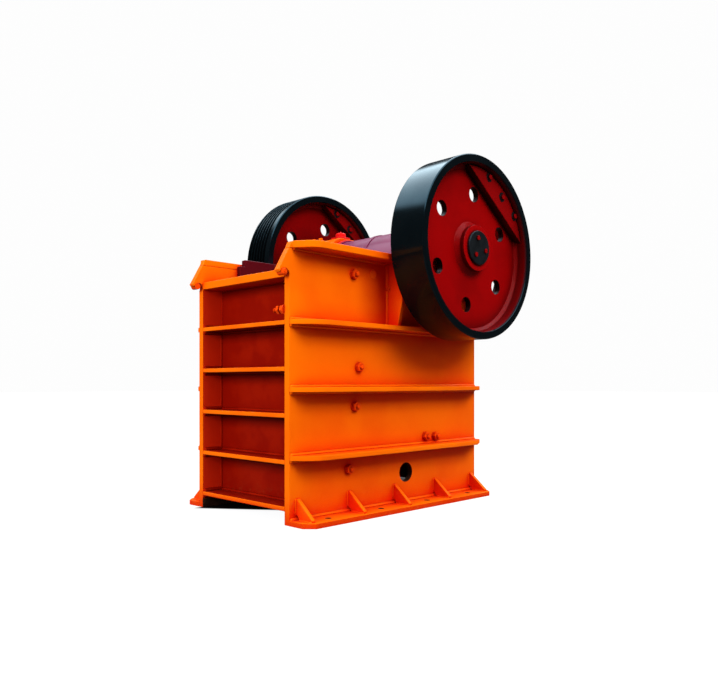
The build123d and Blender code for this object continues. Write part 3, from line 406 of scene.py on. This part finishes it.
def enamel(name, main, deep, shade_reach=0.30, on_frame=True):
    material, place, (x, y, z) = new_finish(name)
    cloud = noise(place, 7.0, 4.0)
    peel = noise(place, 95.0, 2.0)
    grain = noise(place, 420.0, 2.0)
    runs = (noise(place, 1.6, 2.0) * 0.75 + cloud * 0.25).span(0.40, 0.70) * 0.30
    # Painted shade: an occlusion mask takes the colour from the main colour to the deep one in corners.
    painted_corner_shade = crevice(place, shade_reach).span(0.04, 0.62)
    colour = (runs + painted_corner_shade - runs * painted_corner_shade).blend(main, deep)
    painted_dark_shade = 0.0
    if on_frame:
        from_middle = abs(x)
        between_sides = 1 - from_middle.span(plate_inner + 0.0005, plate_inner + 0.003)
        pocket = pocket_mask(y, z, between_sides)
        # Painted shade: the pockets turn brick red, darker on the wall than on the side plates' inner faces.
        colour = pocket.blend(colour, pocket_painted_shade(from_middle, cloud, painted_corner_shade))
        # Painted shade: near black, with a little mottle, in the chamber, under the machine and in the hole
        # walls.
        painted_dark_shade = painted_dark_shade_mask(from_middle, y, z, between_sides, cloud)
        shade_mottle = noise(place, 9.0, 5.0, 0.6).span(0.35, 0.65)
        colour = painted_dark_shade.blend(colour, shade_mottle.blend((0.020, 0.009, 0.006), (0.035, 0.017, 0.012)))
    dust = (1 - z.span(0.0, 0.30)) * noise(place, 26.0, 5.0, 0.7).span(0.5, 0.8) * 0.10
    colour = dust.blend(colour, (0.52, 0.28, 0.12))
    return apply_finish(
        material,
        Base_Color=colour,
        Roughness=0.30 + 0.14 * cloud + 0.3 * dust + 0.25 * painted_dark_shade,
        Normal=relief(peel + 0.25 * grain + 0.6 * cloud, 0.16, 0.0010),
        Specular_IOR_Level=0.11,
        Specular_Tint=tuple(min(1.0, c / main[0] + 0.03) for c in main),
    )


# %% Six enamels
frame_paint = enamel("orange_enamel", (0.82, 0.150, 0.0010), (0.60, 0.012, 0.0008))
bead_paint = enamel("weld_enamel", (0.83, 0.157, 0.0015), (0.64, 0.018, 0.0010), 0.24)
bolt_paint = enamel("bolt_enamel", (0.74, 0.062, 0.0020), (0.36, 0.007, 0.0010), 0.08, on_frame=False)
bearing_paint = enamel("red_enamel", (0.66, 0.012, 0.010), (0.40, 0.003, 0.006), 0.12, on_frame=False)
liner_paint = enamel("maroon_primer", (0.13, 0.004, 0.008), (0.06, 0.002, 0.004), 0.15, on_frame=False)
# The cheek plates' dark red is partly their paint and partly painted shade of the chamber around them.
cheek_paint_and_shade = enamel("dark_red_primer_and_painted_shade", (0.070, 0.003, 0.006), (0.034, 0.0015, 0.003), 0.15, on_frame=False)
print("nodes in the frame's enamel:", len(frame_paint.node_tree.nodes))
print("nodes in a plain enamel:", len(bolt_paint.node_tree.nodes))

# %% [markdown]
# ## The swing jaw's gloss
# The swing jaw's barrel has a deep wine-red enamel. Where the barrel curves away its gloss mirrors the
# high sky, so it looks lavender along the top though the paint itself is dark. A strong tint on the gloss
# does this with a plain sky, which is simpler than a coat of varnish over the paint.

# %% Wine-red enamel
jaw_paint, jaw_place, _ = new_finish("wine_red_enamel")
jaw_cloud = noise(jaw_place, 5.0, 4.0)
jaw_peel = noise(jaw_place, 70.0, 2.0)
apply_finish(
    jaw_paint,
    Base_Color=jaw_cloud.span(0.35, 0.7).blend((0.15, 0.008, 0.045), (0.12, 0.005, 0.034)),
    Roughness=0.32 + 0.1 * jaw_cloud,
    Normal=relief(jaw_peel + jaw_cloud, 0.12, 0.0010),
    Specular_IOR_Level=0.15,
    Specular_Tint=(0.90, 0.14, 0.60),
)
print("swing jaw finish:", jaw_paint.name)

# %% [markdown]
# ## Wheels in two colours
# The wheels' webs are dark red and their rims glossy black. On a turned wheel the colour changes at a
# radius, so the mask is the distance from the shaft's axis, which needs no unwrapping. The walls of the
# web's six holes get a painted near-black shade, found the same way, as the distance from the middle of the
# nearest hole, and an occlusion mask paints shade on the web near the rim and the hub.


# %% Wheel paint
rim_inner_radius = 0.5905
past_every_rim = 0.70
groove_from, groove_to, crest_radius = -0.922, -0.698, 0.6405
web_hole_count, web_hole_radius, web_hole_circle = 6, 0.0525, 0.400
flywheel_hole_phase, pulley_hole_phase = 23.3, 18.0


def nearest_web_hole(y, z, phase):
    """The distance from the middle of the nearest hole in a wheel's web."""
    nearest = None
    for index in range(web_hole_count):
        angle = radians(phase + 360 / web_hole_count * index)
        hole_y = shaft_y + web_hole_circle * cos(angle)
        hole_z = shaft_z + web_hole_circle * sin(angle)
        reach = ((y - hole_y) ** 2 + (z - hole_z) ** 2) ** 0.5
        nearest = reach if nearest is None else nearest.smaller(reach)
    return nearest


def wheel_finish(name, rim_from, red, deep, hole_phase=None):
    material, place, (x, y, z) = new_finish(name)
    radius = ((y - shaft_y) ** 2 + (z - shaft_z) ** 2) ** 0.5
    rim = radius.span(rim_from - 0.0015, rim_from + 0.0015)
    cloud = noise(place, 6.0, 4.0)
    # Painted shade: an occlusion mask deepens the red in corners, mixed with random patches of deeper red.
    shade = crevice(place, 0.32).span(0.04, 0.50)
    patches = noise(place, 2.4, 3.0).span(0.42, 0.72) * 0.30
    red = (shade + patches - shade * patches).blend(red, deep)
    if hole_phase is not None:
        # Painted shade: the walls of the web's holes are near black.
        off_wall = nearest_web_hole(y, z, hole_phase).span(web_hole_radius + 0.0010, web_hole_radius + 0.0025)
        red = off_wall.blend((0.012, 0.002, 0.002), red)
    black = cloud.span(0.3, 0.7).blend((0.014, 0.025, 0.031), (0.011, 0.020, 0.026))
    under_crest = 1 - radius.span(crest_radius, crest_radius + 0.002)
    in_groove = inside_of(x, groove_from, groove_to) * under_crest * rim
    black = in_groove.blend(black, (0.003, 0.004, 0.005))
    sand = noise(place, 120.0, 3.0)
    return apply_finish(
        material,
        Base_Color=rim.blend(red, black),
        Metallic=rim * 0.9,
        Roughness=0.30 + 0.08 * cloud - rim * 0.19 + in_groove * 0.4,
        Normal=relief((1 - rim) * sand + 0.3 * rim * cloud, 0.16, 0.0010),
        Specular_IOR_Level=0.06,
    )


web_red, web_deep = (0.235, 0.0004, 0.0008), (0.036, 0.0002, 0.0005)
weight_red, weight_deep = (0.17, 0.0008, 0.0012), (0.020, 0.0006, 0.0008)
flywheel_paint = wheel_finish("flywheel_enamel", rim_inner_radius, web_red, web_deep, flywheel_hole_phase)
pulley_paint = wheel_finish("pulley_enamel", rim_inner_radius, web_red, web_deep, pulley_hole_phase)
weight_paint = wheel_finish("counterweight_enamel", past_every_rim, weight_red, weight_deep)
print("wheel finishes:", flywheel_paint.name, pulley_paint.name, weight_paint.name)

# %% [markdown]
# ## Bare and oiled steel
# The shaft, the toggle plate and the rod are unpainted. Turning leaves fine rings, which are noise that
# changes along one axis only, and oil darkens the steel in clouds.


# %% Steel
def steel_finish(name, light, dark, rough):
    material, place, (x, _, _) = new_finish(name)
    cloud = noise(place, 14.0, 4.0)
    rings = noise(x.node("ShaderNodeCombineXYZ", sockets={0: x}), 500.0, 1.0)
    return apply_finish(
        material,
        Base_Color=cloud.span(0.35, 0.7).blend(light, dark),
        Metallic=0.9,
        Roughness=rough + 0.15 * cloud,
        Normal=relief(rings + cloud, 0.15, 0.0008),
    )


bare_steel = steel_finish("oiled_steel", (0.30, 0.30, 0.31), (0.16, 0.155, 0.15), 0.28)
dark_steel = steel_finish("blackened_steel", (0.035, 0.040, 0.045), (0.020, 0.023, 0.026), 0.35)
print("steel finishes:", bare_steel.name, dark_steel.name)

# %% [markdown]
# ## Which piece has which finish
# The welded frame was painted in one go, so orange is the rule and only the exceptions are listed: what
# was bolted on after painting, what turns or swings, and what wears.

# %% Give each packed node its finish
finish_of = {
    "fixed_jaw_plate": liner_paint,
    "swing_jaw_plate": liner_paint,
    "swing_jaw": jaw_paint,
    "jaw_wedge": liner_paint,
    "flywheel": flywheel_paint,
    "grooved_pulley": pulley_paint,
    "flywheel_counterweight": weight_paint,
    "pulley_counterweight": weight_paint,
    "eccentric_shaft": bare_steel,
    "shaft_end_plates": dark_steel,
    "toggle_plate": bare_steel,
    "tension_rod": bare_steel,
    "tension_spring": dark_steel,
}
for side, _ in SIDES:
    finish_of[f"cheek_plate_{side}"] = cheek_paint_and_shade
    finish_of[f"grease_block_{side}"] = bearing_paint
    finish_of[f"bearing_housing_{side}"] = bearing_paint
print("nodes that aren't orange:", len(finish_of), "of", len(frame["nodes"]))

# %% [markdown]
# ## Softened edges
# Flame-cut plate never has a perfect edge: grinding and paint round it by a few millimetres, and that is
# where the highlights run. Each packed node is copied, its flat triangles are joined back into faces, and
# its sharp edges get a small bevel. Weighted normals keep the large faces flat, so that only the narrow
# bevels shade round. The copy then stands for the node. The ribs and top flanges taper towards the front,
# and there their outer corner is rounded first. The toothed jaw plates keep their packed meshes, because
# their teeth already have their true profile.


# %% Softened copies of the packed nodes
def put_on_body(mesh, name, body, finish, stands_for=(), recalculate=True):
    data = bpy.data.meshes.new(name)
    if recalculate:
        bmesh.ops.recalc_face_normals(mesh, faces=mesh.faces)
    mesh.to_mesh(data)
    mesh.free()
    data.materials.append(finish)
    piece = bpy.data.objects.new(name, data)
    bpy.context.scene.collection.objects.link(piece)
    keep_flat = piece.modifiers.new("flat_faces", "WEIGHTED_NORMAL")
    keep_flat.keep_sharp = True
    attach(piece, body)
    for node in stands_for:
        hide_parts(node)
    return piece


taper_length, taper_round = 0.2, 0.055
sharp_angle, edge_segments = radians(32), 2


def is_taper_corner(edge):
    """An upright edge at the outer end of a rib's or flange's front taper."""
    low, high = [v.co for v in edge.verts]
    upright = (low - high).cross(UP).length < 0.002
    middle = (low + high) / 2
    at_outer_end = abs(middle.x) > plate_outer + rib_depth - 0.005
    return upright and at_outer_end and middle.y < plate_front + taper_length


def softened(node, width):
    mesh = bmesh.new()
    mesh.from_mesh(frame["nodes"][node].data)
    bmesh.ops.remove_doubles(mesh, verts=mesh.verts, dist=1e-5)
    bmesh.ops.dissolve_limit(mesh, angle_limit=radians(0.5), verts=mesh.verts, edges=mesh.edges)
    if node.startswith(("side_ribs", "top_flange")):
        bmesh.ops.bevel(
            mesh,
            geom=[e for e in mesh.edges if is_taper_corner(e)],
            offset=taper_round,
            offset_type="OFFSET",
            segments=6,
            profile=0.5,
            affect="EDGES",
            material=-1,
        )
    sharp = [e for e in mesh.edges if len(e.link_faces) == 2 and e.calc_face_angle(0) > sharp_angle]
    bmesh.ops.bevel(
        mesh,
        geom=sharp,
        offset=width,
        offset_type="OFFSET",
        segments=edge_segments,
        profile=0.5,
        affect="EDGES",
        material=-1,
        clamp_overlap=True,
    )
    for face in mesh.faces:
        face.smooth = True
    return mesh


usual_edge_width = 0.005
edge_width = {
    "tension_rod": 0.0015,
    "fixed_jaw_plate": 0.0,
    "swing_jaw_plate": 0.0,
    "grooved_pulley": 0.0008,
    "cap_nuts_right": 0.002,
    "cap_nuts_left": 0.002,
}
softened_nodes = 0
for node, source in frame["nodes"].items():
    finish = finish_of.get(node, frame_paint)
    width = edge_width.get(node, usual_edge_width)
    if width == 0.0:
        for material_slot in source.material_slots:
            material_slot.material = finish
        continue
    put_on_body(softened(node, width), f"{node}_finished", source["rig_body"], finish, [node])
    softened_nodes += 1
print("nodes with softened edges:", softened_nodes)

# %% [markdown]
# ## Bolts
# A bolt is a hexagon with a ground-off corner, a washer under it and the threaded end that stands out. A
# thread could be a row of rings, but a real one climbs: bmesh.ops.spin takes a dvec, a small step along
# the axis for each step of the turn, and one V-shaped tooth swept that way meets itself one pitch later.


# %% One nut, one washer, one threaded end
nut_corner_share = 0.06
thread_pitch, thread_steps = 0.0035, 12


def add_nut(mesh, flats, height, base=0.0):
    corner = flats / 2 / cos(radians(30))
    nut = bmesh.ops.create_cone(
        mesh,
        cap_ends=True,
        segments=6,
        radius1=corner,
        radius2=corner,
        depth=height,
        matrix=Matrix.Translation((0, 0, base + height / 2)),
    )
    top = [v for v in nut["verts"] if v.co.z > base + height / 2]
    rim = [e for e in mesh.edges if e.verts[0] in top and e.verts[1] in top]
    bmesh.ops.bevel(
        mesh,
        geom=rim,
        offset=flats * nut_corner_share,
        offset_type="OFFSET",
        segments=2,
        profile=0.5,
        affect="EDGES",
        material=-1,
    )


def add_disc(mesh, radius, height, base=0.0, top_radius=None, segments=24):
    bmesh.ops.create_cone(
        mesh,
        cap_ends=True,
        segments=segments,
        radius1=radius,
        radius2=radius if top_radius is None else top_radius,
        depth=height,
        matrix=Matrix.Translation((0, 0, base + height / 2)),
    )


def add_thread(mesh, radius, start, length):
    core_radius = radius - 0.6 * thread_pitch
    turns = int(length / thread_pitch) - 1
    tooth = [
        mesh.verts.new((core_radius, 0, start)),
        mesh.verts.new((radius, 0, start + thread_pitch / 2)),
        mesh.verts.new((core_radius, 0, start + thread_pitch)),
    ]
    edges = [mesh.edges.new(tooth[:2]), mesh.edges.new(tooth[1:])]
    bmesh.ops.spin(
        mesh,
        geom=tooth + edges,
        cent=(0, 0, 0),
        axis=(0, 0, 1),
        dvec=(0, 0, thread_pitch / thread_steps),
        angle=2 * pi * turns,
        steps=thread_steps * turns,
        use_merge=False,
    )
    bmesh.ops.remove_doubles(mesh, verts=mesh.verts, dist=1e-5)
    core_length, end_height = length - 0.002, 0.003
    add_disc(mesh, core_radius, core_length, start)
    add_disc(mesh, core_radius, end_height, start + core_length, core_radius - 0.6 * thread_pitch)


def template(*parts):
    """A mesh that holds one detail, standing on the origin along Z."""
    mesh = bmesh.new()
    for add, sizes in parts:
        add(mesh, **sizes)
    for face in mesh.faces:
        face.smooth = False
    data = bpy.data.meshes.new("detail")
    mesh.to_mesh(data)
    mesh.free()
    return data


def stand(mesh, detail, place, direction, turn=0.0):
    """Copies a detail into mesh at a place, so that its Z axis looks along direction."""
    count = len(mesh.verts)
    mesh.from_mesh(detail)
    mesh.verts.ensure_lookup_table()
    facing = Vector(direction).to_track_quat("Z", "Y").to_matrix().to_4x4()
    matrix = Matrix.Translation(place) @ facing @ Matrix.Rotation(turn, 4, "Z")
    bmesh.ops.transform(mesh, matrix=matrix, verts=mesh.verts[count:])


print("thread pitch, mm:", 1000 * thread_pitch)

# %% [markdown]
# ## Bolts through the frame sides
# The cheek plates inside are held by bolts through the frame sides, and one more hole has a flat plug.
# Their places were measured on the near side as distances from the front edge and from the floor, and the
# far side repeats them. One bolt is made as a template and copied into a single mesh a side, which keeps
# the list of pieces short. Each copy is turned a little further, because nuts stop at any angle.

# %% Bolts through the frame sides
liner_bolt_places = (
    (0.551, 1.591),
    (0.899, 1.520),
    (0.598, 0.978),
    (0.560, 0.716),
    (1.292, 0.481),
    (1.403, 0.475),
    (0.500, 0.306),
)
liner_bolt = template(
    (add_disc, {"radius": 0.034, "height": 0.005}),
    (add_nut, {"flats": 0.055, "height": 0.026, "base": 0.005}),
    (add_thread, {"radius": 0.015, "start": 0.029, "length": 0.018}),
)
turn_step = 0.7
plug_place = (0.738, 1.615)
plug = template(
    (add_disc, {"radius": 0.033, "height": 0.004, "top_radius": 0.031}),
    (add_disc, {"radius": 0.031, "height": 0.003, "base": 0.004, "top_radius": 0.024}),
)
for side, s in SIDES:
    bolts = bmesh.new()
    plugs = bmesh.new()
    stand(plugs, plug, (s * plate_outer, plate_front + plug_place[0], plug_place[1]), (s, 0, 0))
    put_on_body(plugs, f"plug_{side}", "frame", bead_paint, recalculate=False)
    for index, (from_front, height) in enumerate(liner_bolt_places):
        place = (s * plate_outer, plate_front + from_front, height)
        stand(bolts, liner_bolt, place, (s, 0, 0), turn_step * index)
    put_on_body(bolts, f"liner_bolts_{side}", "frame", bolt_paint, recalculate=False)
print("liner bolts a side:", len(liner_bolt_places))

# %% [markdown]
# ## Bearing covers and end plates
# A bearing housing is closed by a cover ring with a circle of bolts, and a wheel is locked on the shaft by
# an end plate with three bolts. The covers' bolts stand still and the end plates' turn, so they ride on
# different bodies.


# %% Bolt circles
def circle_of(mesh, detail, x, radius, count, phase, facing):
    for i in range(count):
        angle = phase + 2 * pi * i / count
        place = (x, shaft_y + radius * cos(angle), shaft_z + radius * sin(angle))
        stand(mesh, detail, place, (facing, 0, 0), angle)


cover_bolt = template((add_nut, {"flats": 0.030, "height": 0.014}))
cover_bolt_circle, cover_bolt_count, cover_bolt_phase = 0.178, 12, 0.2
end_bolt = template((add_nut, {"flats": 0.032, "height": 0.010}))
end_bolt_circle, end_bolt_count, end_bolt_phase = 0.070, 3, radians(-12)
housing_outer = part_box("bearing_housing_right")[1][X]
end_plate_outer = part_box("shaft_end_plates")[1][X]
for side, s in SIDES:
    covers = bmesh.new()
    cover_values = (s * housing_outer, cover_bolt_circle, cover_bolt_count, cover_bolt_phase, s)
    circle_of(covers, cover_bolt, *cover_values)
    put_on_body(covers, f"cover_bolts_{side}", "frame", bearing_paint, recalculate=False)
    ends = bmesh.new()
    end_values = (s * end_plate_outer, end_bolt_circle, end_bolt_count, end_bolt_phase, s)
    circle_of(ends, end_bolt, *end_values)
    put_on_body(ends, f"end_plate_bolts_{side}", "rotor", weight_paint, recalculate=False)
print("bolts in a cover:", cover_bolt_count, "and in an end plate:", end_bolt_count)

# %% [markdown]
# ## Grease nipples
# Each lubricator block feeds its bearing through a nipple: a small hexagon with a ball-shaped head that
# the grease gun grips. At this size two cones show the head well enough.

# %% Grease nipples on the lubricators
nipple = template(
    (add_nut, {"flats": 0.017, "height": 0.006}),
    (add_disc, {"radius": 0.005, "height": 0.006, "base": 0.006, "top_radius": 0.004, "segments": 12}),
    (add_disc, {"radius": 0.005, "height": 0.004, "base": 0.012, "top_radius": 0.003, "segments": 12}),
)
for side, _ in SIDES:
    low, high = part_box(f"grease_block_{side}")
    nipples = bmesh.new()
    stand(nipples, nipple, ((low[X] + high[X]) / 2, (low[Y] + high[Y]) / 2, high[Z]), UP)
    put_on_body(nipples, f"grease_nipple_{side}", "frame", bearing_paint, recalculate=False)
    print(f"grease nipple {side} at z", round(high[Z], 3))

# %% [markdown]
# ## Counterweight bolts
# The counterweights balance the swing jaw. A row of three bolts holds each to its web, in counterbores
# whose shade looks like dark rings from the front. A counterbore could be cut into the mesh, but a thin
# dark disc under each bolt paints that shade and leaves the packed shape alone.

# %% Counterweight bolts and the discs of painted shade under them
weight_angle = radians(54.8)
weight_bolt_out = 0.521
weight_bolt_across = (-0.214, -0.016, 0.182)
weight_bolt_turn = 0.4
weight_bolt = template((add_nut, {"flats": 0.036, "height": 0.016}))
# A thin near-black disc paints the shade of each counterbore.
weight_shade_disc = template((add_disc, {"radius": 0.034, "height": 0.002}))


def weight_rows(name, x):
    bolts, shade_discs = bmesh.new(), bmesh.new()
    out = Vector((0, cos(weight_angle), sin(weight_angle)))
    across = Vector((0, -sin(weight_angle), cos(weight_angle)))
    centre = Vector((x, shaft_y, shaft_z))
    for shift in weight_bolt_across:
        place = centre + out * weight_bolt_out + across * shift
        stand(shade_discs, weight_shade_disc, place, (1, 0, 0))
        stand(bolts, weight_bolt, place, (1, 0, 0), weight_bolt_turn)
    put_on_body(bolts, f"{name}_bolts", "rotor", weight_paint, recalculate=False)
    put_on_body(shade_discs, f"{name}_bolt_shade_discs", "rotor", dark_steel, recalculate=False)
    print(name, "bolts at x", round(x, 3))


weight_rows("flywheel_weight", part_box("flywheel_counterweight")[1][X])
weight_rows("pulley_weight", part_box("pulley_counterweight")[1][X])

# %% [markdown]
# ## Weld beads
# Every plate of the frame is welded, and a bead is not a straight triangle: the welder's steps show as
# scallops about a centimetre apart. A grid laid along the joint is bent into a slightly bulging fillet,
# and its leg grows and shrinks with each scallop. The grid's last two rows close it behind, in the joint.

# %% The bead
bead_pitch = 0.012
steps_per_scallop = 3
bead_rows = 6
face_rows = bead_rows - 2
scallop_share, bulge_share, end_share = 0.08, 0.10, 0.4
sunk_in, root_depth = 0.0005, 0.001


def add_weld(mesh, start, end, out_a, out_b, leg=0.014):
    """A closed bead in the corner of two plates that face along out_a and out_b."""
    start, end, out_a, out_b = [Vector(v) for v in (start, end, out_a, out_b)]
    length = (end - start).length
    steps = max(6, ceil(length / bead_pitch * steps_per_scallop))
    grid = bmesh.ops.create_grid(mesh, x_segments=steps, y_segments=bead_rows, size=0.5)
    for vertex in grid["verts"]:
        along = vertex.co.x + 0.5
        row = round((vertex.co.y + 0.5) * bead_rows)
        scallop = abs(sin(pi * along * length / bead_pitch))
        taper = min(1.0, min(along, 1 - along) * length / (end_share * leg)) ** 0.5
        reach = leg * taper * (1 - scallop_share + scallop_share * scallop)
        across = 0.0 if row == bead_rows else min(row / face_rows, 1.0)
        bulge = reach * bulge_share * sin(pi * across) - sunk_in
        offset = out_a * (reach * (1 - across) + bulge) + out_b * (reach * across + bulge)
        if row == bead_rows - 1:
            offset = (out_a + out_b) * -root_depth
        vertex.co = start + (end - start) * along + offset


def welded(name, beads):
    mesh = bmesh.new()
    for bead in beads:
        add_weld(mesh, *bead)
    bmesh.ops.remove_doubles(mesh, verts=mesh.verts, dist=1e-5)
    for face in mesh.faces:
        face.smooth = True
    put_on_body(mesh, name, "frame", bead_paint)
    print(name, "beads:", len(beads))


# %% [markdown]
# ## Beads of the side plates
# Each rib has a bead above and one below, the top flange has one beneath it, the base flange has one along
# its top, and the gussets and the bearing's stiffeners have one on each side. The gussets' beads start
# beyond the drain notch in their corner.

# %% Beads along the ribs, flanges and gussets of each side
end_gap, flange_front_gap = 0.004, 0.03
rib_leg, gusset_leg, stiffener_leg = 0.018, 0.008, 0.014
gusset_count, gusset_pitch = 5, 0.445
gusset_thickness, gusset_foot, gusset_height, gusset_drain = 0.028, 0.152, 0.130, 0.030
stiffener_thickness = 0.032
stiffener_places = (-0.060, 0.425)
rib_top = rib_levels[2] + rib_thickness
for side, s in SIDES:
    out = Vector((s, 0, 0))
    on_plate = s * plate_outer
    beads = []
    for level in rib_levels:
        for height, way in ((level + rib_thickness, UP), (level, DOWN)):
            ends = [(on_plate, y, height) for y in (plate_front + end_gap, plate_rear - end_gap)]
            beads.append((*ends, out, way, rib_leg))
    ends = [(on_plate, y, plate_top) for y in (plate_front + flange_front_gap, seat_front)]
    beads.append((*ends, out, DOWN))
    welded(f"rib_welds_{side}", beads)

    ends = [(on_plate, y, foot_top) for y in (plate_front + end_gap, plate_rear - end_gap)]
    beads = [(*ends, out, UP, rib_leg)]
    for index in range(gusset_count):
        for way in (1, -1):
            y = (index - gusset_count // 2) * gusset_pitch + way * gusset_thickness / 2
            facing = Vector((0, way, 0))
            low, high = foot_top + gusset_drain + end_gap, foot_top + gusset_height
            beads.append(((on_plate, y, low), (on_plate, y, high), out, facing, gusset_leg))
            near, far = plate_outer + gusset_drain + end_gap, plate_outer + gusset_foot
            beads.append(((s * near, y, foot_top), (s * far, y, foot_top), facing, UP, gusset_leg))
    for y_middle in stiffener_places:
        for way in (1, -1):
            y = y_middle + way * stiffener_thickness / 2
            ends = [(on_plate, y, z) for z in (rib_top, plate_top)]
            beads.append((*ends, out, Vector((0, way, 0)), stiffener_leg))
    welded(f"base_welds_{side}", beads)

# %% [markdown]
# ## Beads of the cross ribs
# Between the side plates the front and the rear wall carry ribs of their own. Each rib is welded to the
# wall along its length and to both side plates at its ends, where the beads are the heaviest, and the
# wall itself has a thin upright bead in each corner.

# %% Beads of the cross ribs at the front and at the rear
cross_leg, cross_end_leg, corner_leg = 0.016, 0.022, 0.010
cross_end_gap = 0.006
front_rib_thickness, front_rib_low, front_rib_pitch, front_rib_count = 0.028, 0.084, 0.287, 5
rear_rib_thickness, rear_rib_low = 0.032, 0.090
rear_rib_second, rear_rib_pitch, upper_rear_ribs = 0.482, 0.393, 3
front_levels = [front_rib_low + front_rib_pitch * index for index in range(front_rib_count)]
upper_rear_levels = [rear_rib_second + rear_rib_pitch * index for index in range(upper_rear_ribs)]
rear_levels = [rear_rib_low] + upper_rear_levels
for end, way, wall, levels, thickness in (
    ("front", -1, wall_front, front_levels, front_rib_thickness),
    ("rear", 1, rear_wall_back, rear_levels, rear_rib_thickness),
):
    outward = Vector((0, way, 0))
    edge = way * (plate_rear - cross_end_gap)
    beads = []
    for level in levels:
        for height, upright in ((level + thickness, UP), (level, DOWN)):
            ends = [(x, wall, height) for x in (-plate_inner + end_gap, plate_inner - end_gap)]
            beads.append((*ends, outward, upright, cross_leg))
            for _, s in SIDES:
                ends = [(s * plate_inner, y, height) for y in (wall, edge)]
                beads.append((*ends, Vector((-s, 0, 0)), upright, cross_end_leg))
    for _, s in SIDES:
        ends = [(s * plate_inner, wall, z) for z in (levels[0] + thickness, levels[-1])]
        beads.append((*ends, Vector((-s, 0, 0)), outward, corner_leg))
    welded(f"{end}_welds", beads)

# %% [markdown]
# ## The tension spring
# The spring is the second helix, after the threads: a small circle swept by the same operator, with a
# larger step along the axis. The packed spring has few sides, so this smooth one stands for it.

# %% Coil spring
spring_low, spring_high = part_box("tension_spring")
wire_radius = 0.009
coil_radius = (spring_high[X] - spring_low[X]) / 2 - wire_radius
coil_turns = 6
coil_steps = 28
coil_length = spring_high[Y] - spring_low[Y] - 2 * wire_radius
coil = bmesh.new()
ring = bmesh.ops.create_circle(
    coil,
    segments=10,
    radius=wire_radius,
    matrix=Matrix.Translation((coil_radius, 0, 0)) @ Matrix.Rotation(pi / 2, 4, "X"),
)
bmesh.ops.spin(
    coil,
    geom=ring["verts"] + coil.edges[:],
    cent=(0, 0, 0),
    axis=(0, 0, 1),
    dvec=(0, 0, coil_length / coil_turns / coil_steps),
    angle=2 * pi * coil_turns,
    steps=coil_turns * coil_steps,
    use_merge=False,
)
bmesh.ops.remove_doubles(coil, verts=coil.verts, dist=1e-5)
bmesh.ops.holes_fill(coil, edges=[e for e in coil.edges if e.is_boundary], sides=0)
spring_axis = [(spring_low[i] + spring_high[i]) / 2 for i in (X, Z)]
first_ring = Vector((spring_axis[0], spring_low[Y] + wire_radius, spring_axis[1]))
along_rod = Matrix.Translation(first_ring) @ Matrix.Rotation(-pi / 2, 4, "X")
bmesh.ops.transform(coil, matrix=along_rod, verts=coil.verts)
for face in coil.faces:
    face.smooth = len(face.verts) == 4
put_on_body(coil, "coil_spring", "pitman", dark_steel, ["tension_spring"])
print("spring, mm across:", round(2000 * (coil_radius + wire_radius)))

# %% [markdown]
# ## Pins of the ears
# The rounded ear at each front top corner has a notch, and a pin sits in it. Only its domed end shows, so
# three discs, each narrower than the last, make the dome.

# %% Pin in the notch of each ear
pin_radius, pin_y, pin_z = 0.022, -0.996, 1.5475
flat_radius = pin_radius - 0.007
knob_radius, knob_top = pin_radius * 0.45, pin_radius * 0.35
pin = template(
    (add_disc, {"radius": pin_radius, "height": 0.050, "base": -0.044, "segments": 32}),
    (
        add_disc,
        {"radius": pin_radius, "height": 0.007, "base": 0.006, "top_radius": flat_radius, "segments": 32},
    ),
    (
        add_disc,
        {"radius": knob_radius, "height": 0.006, "base": 0.011, "top_radius": knob_top, "segments": 20},
    ),
)
for side, s in SIDES:
    pins = bmesh.new()
    stand(pins, pin, (s * plate_outer, pin_y, pin_z), (s, 0, 0))
    put_on_body(pins, f"ear_pin_{side}", "frame", bolt_paint, recalculate=False)
print("ear pins, mm across:", round(2000 * pin_radius))

# %% [markdown]
# ## Adjusting stud
# The photograph shows a threaded stud with two nuts in the top front pocket, standing out of the near side
# plate. It is built from the same disc, nut and thread as the bolts, only longer.

# %% Adjusting stud in the top pocket
stud_inset, stud_z, stud_turn = 0.008, 1.326, 0.3
stud = template(
    (add_disc, {"radius": 0.030, "height": 0.006}),
    (add_nut, {"flats": 0.050, "height": 0.026, "base": 0.006}),
    (add_nut, {"flats": 0.050, "height": 0.022, "base": 0.046}),
    (add_thread, {"radius": 0.015, "start": 0.076, "length": 0.032}),
)
stud_mesh = bmesh.new()
stand(stud_mesh, stud, (plate_inner, plate_front + stud_inset, stud_z), (-1, 0, 0), stud_turn)
put_on_body(stud_mesh, "pocket_stud", "frame", bolt_paint, recalculate=False)
print("stud at z", stud_z)

# %% [markdown]
# ## Sizes
# The dressed machine should fill the same box as the packed one: beads and bolts may not make it grow.
